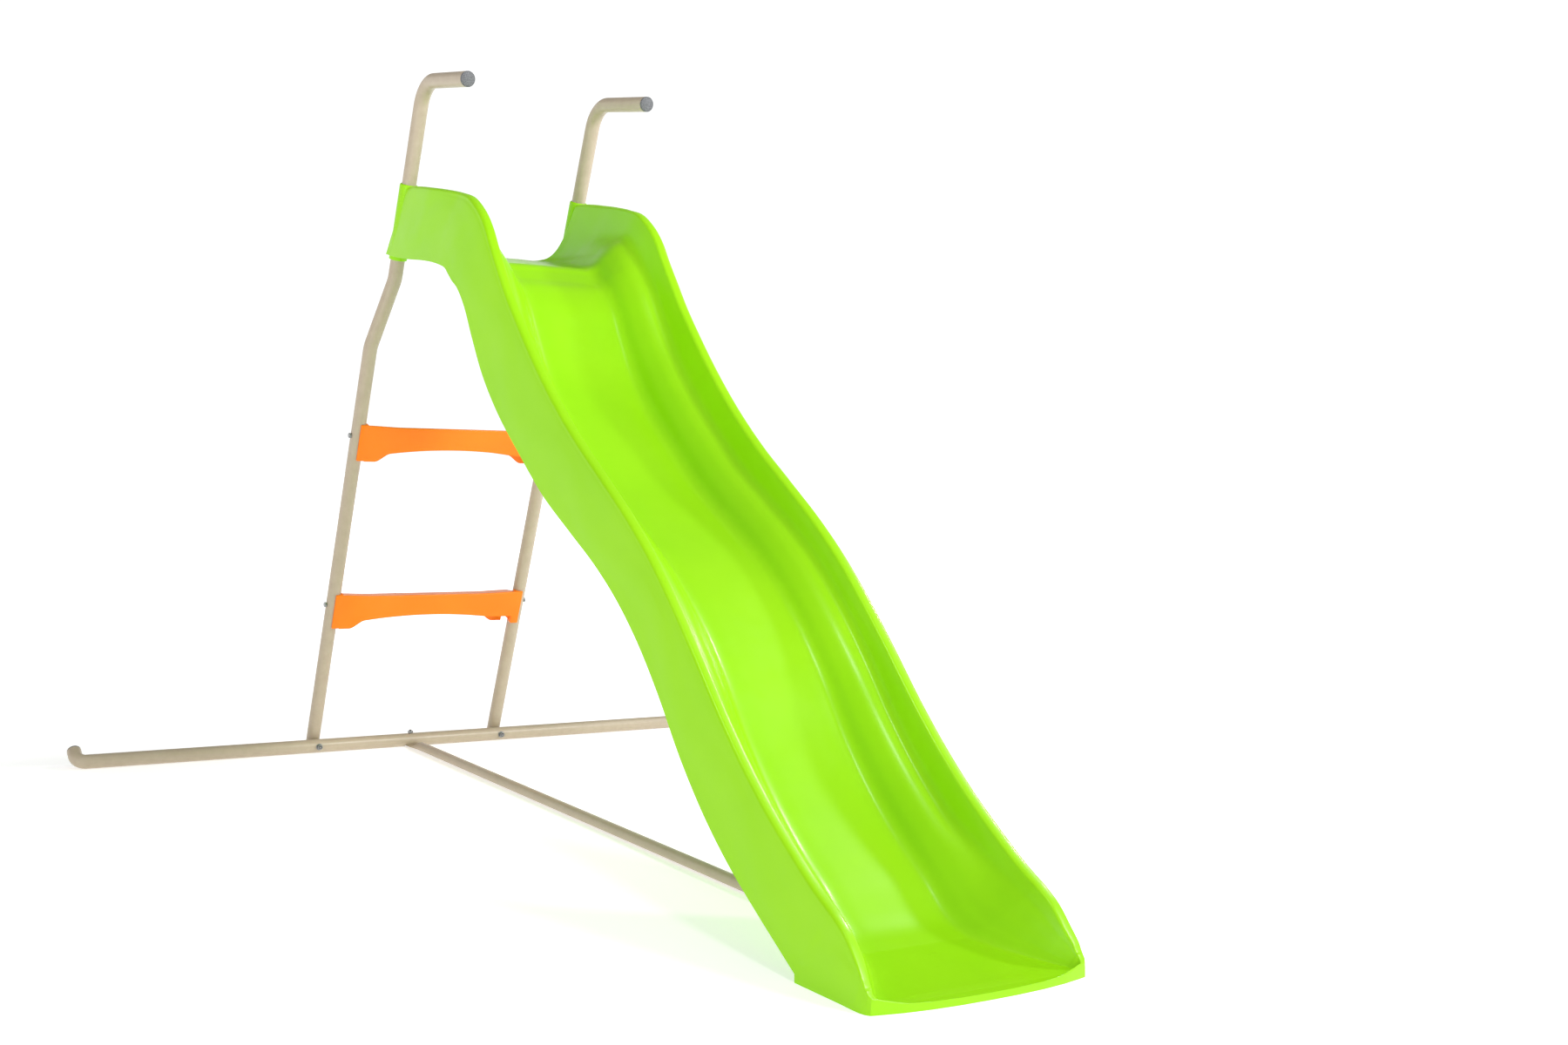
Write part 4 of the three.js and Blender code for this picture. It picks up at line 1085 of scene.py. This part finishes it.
def chute():
    shell = chute_shell("chute_moulding")
    for side in (-1, 1):
        low = leg_axis(side, LEG_HALF_TOP, SLEEVE_Z[0])
        high = leg_axis(side, LEG_HALF_TOP, SLEEVE_Z[1])
        length = (high - low).length
        profile = [(SLEEVE_R, 0)]
        profile += [(SLEEVE_R - inset, length - below) for inset, below in SLEEVE_ROUND]
        combine(shell, revolved("sleeve", low, UP, profile, 48), "UNION")
        reach = UP * SLEEVE_BORE_REACH
        combine(shell, rod("bore", low - reach, high + reach, TUBE_R + GAP, 48), "DIFFERENCE")
        screw = leg_axis(side, LEG_HALF_TOP, CHUTE_SCREW_Z)
        screw_hole = hole(screw, screw + BACK * HOLE_REACH, CHUTE_SCREW_HOLE_R)
        combine(shell, screw_hole, "DIFFERENCE")
    boss_foot = Vector((0, STRUT_SCREW_Y, STRUT_CHUTE_Z + STRUT_FLAT_THICK / 2 + GAP / 2))
    boss_top = Vector((0, STRUT_SCREW_Y, BOSS_TOP_Z))
    combine(shell, rod("boss", boss_foot, boss_top, BOSS_R), "UNION")
    bolt_hole = hole(Vector((0, STRUT_SCREW_Y, 0)), Vector((0, STRUT_SCREW_Y, BOSS_HOLE_Z)))
    combine(shell, bolt_hole, "DIFFERENCE")
    finish_piece(shell, LIME, "chute", angle=40)


# ---------------------------------------------------------------- stage, lights and camera

# The pale floor glows a little, to be as bright as the backdrop; more so away from the lights.
STAGE_GLOW_REACH = (1.5, 4.5)
STAGE_GLOW = (0.50, 0.95)
STAGE_TONES = ((0.86, 0.86, 0.86), (0.88, 0.88, 0.88))
STAGE_HALF = 30.0
STAGE_Z = -0.0002

# World strength: full below the first height of the view direction, dimmer overhead.
SKY_RANGE = (0.32, 0.52, 1.10, 0.26)

LIGHT_TARGET = Vector((0, -0.1, 0.6))
LIGHTS = {                         # place, width and power
    "key": ((2.4, -4.0, 3.3), 1.2, 150),
    "top": ((-0.7, -2.4, 4.6), 0.6, 38),
    "rim": ((3.4, -0.4, 3.1), 0.3, 50),
    "fill": ((-4.2, -1.6, 0.7), 1.6, 18),
}

SENSOR_WIDTH = 36.0
LENS = 37.7612
LENS_SHIFT = (0.1339278, -0.0049167)    # shares of the image's width
CAMERA_CLIP = 100
CAMERA_YAW = math.radians(28.684)
CAMERA_PITCH = math.radians(-2.354)
CAMERA_ROLL = math.radians(1.410)
CAMERA_PLACE = (-1.4129, -3.0060, 0.6624)


def stage():
    material = Nodes("pale_floor")
    tone = material.remap(material.noise(2.0, 2.0), 0.3, 0.7, 0.0, 1.0)
    material.link(material.blend(tone, *STAGE_TONES), material.shader.inputs["Base Color"])
    away = material.add("ShaderNodeVectorMath", operation="LENGTH")
    material.link(material.coords, away.inputs[0])
    glow = material.remap(away.outputs["Value"], *STAGE_GLOW_REACH, *STAGE_GLOW)
    material.link(glow, material.shader.inputs["Emission Strength"])
    material.set(Roughness=0.9, Specular_IOR_Level=0.1, Emission_Color=(1, 1, 1, 1))
    corners = [(x * STAGE_HALF, y * STAGE_HALF, 0)
               for x, y in ((-1, -1), (1, -1), (1, 1), (-1, 1))]
    floor = add_object("floor", corners, [(0, 1, 2, 3)])
    floor.location.z = STAGE_Z
    floor.data.materials.append(material.material)


def area_light(name, place, size, power):
    """A square white light that faces the middle of the slide."""
    data = bpy.data.lights.new(name, "AREA")
    data.shape = "SQUARE"
    data.size = size
    data.energy = power
    light = bpy.data.objects.new(name, data)
    bpy.context.scene.collection.objects.link(light)
    light.location = place
    light.rotation_euler = (LIGHT_TARGET - Vector(place)).to_track_quat("-Z", "Y").to_euler()


def lights():
    world = bpy.data.worlds.new("studio")
    world.use_nodes = True
    nodes = world.node_tree.nodes
    links = world.node_tree.links
    background = nodes["Background"]
    direction = nodes.new("ShaderNodeTexCoord")
    split = nodes.new("ShaderNodeSeparateXYZ")
    links.new(direction.outputs["Generated"], split.inputs[0])
    sky = nodes.new("ShaderNodeMapRange")
    sky.interpolation_type = "SMOOTHSTEP"
    links.new(split.outputs["Z"], sky.inputs["Value"])
    for socket, value in zip(("From Min", "From Max", "To Min", "To Max"), SKY_RANGE):
        sky.inputs[socket].default_value = value
    links.new(sky.outputs["Result"], background.inputs["Strength"])
    background.inputs["Color"].default_value = (1, 1, 1, 1)
    bpy.context.scene.world = world
    for name, settings in LIGHTS.items():
        area_light(name, *settings)


def camera():
    data = bpy.data.cameras.new("camera")
    data.sensor_width = SENSOR_WIDTH
    data.lens = LENS
    data.shift_x, data.shift_y = LENS_SHIFT
    data.clip_end = CAMERA_CLIP
    cam = bpy.data.objects.new("camera", data)
    bpy.context.scene.collection.objects.link(cam)
    forward = Vector((math.sin(CAMERA_YAW) * math.cos(CAMERA_PITCH),
                      math.cos(CAMERA_YAW) * math.cos(CAMERA_PITCH), math.sin(CAMERA_PITCH)))
    level = Vector((math.cos(CAMERA_YAW), -math.sin(CAMERA_YAW), 0))
    upright = level.cross(forward)
    right = level * math.cos(CAMERA_ROLL) + upright * math.sin(CAMERA_ROLL)
    top = upright * math.cos(CAMERA_ROLL) - level * math.sin(CAMERA_ROLL)
    cam.matrix_world = Matrix((right, top, -forward)).transposed().to_4x4()
    cam.location = (CAMERA_PLACE[0], CAMERA_PLACE[1] + SHIFT_Y, CAMERA_PLACE[2])
    bpy.context.scene.camera = cam


camera()
stage()
lights()
bpy.context.scene.view_settings.view_transform = "Standard"

chute()
legs_and_caps()
ground_bar()
ground_strut()
for step_level in STEP_BOLT_Z:
    step(step_level)
fasteners()
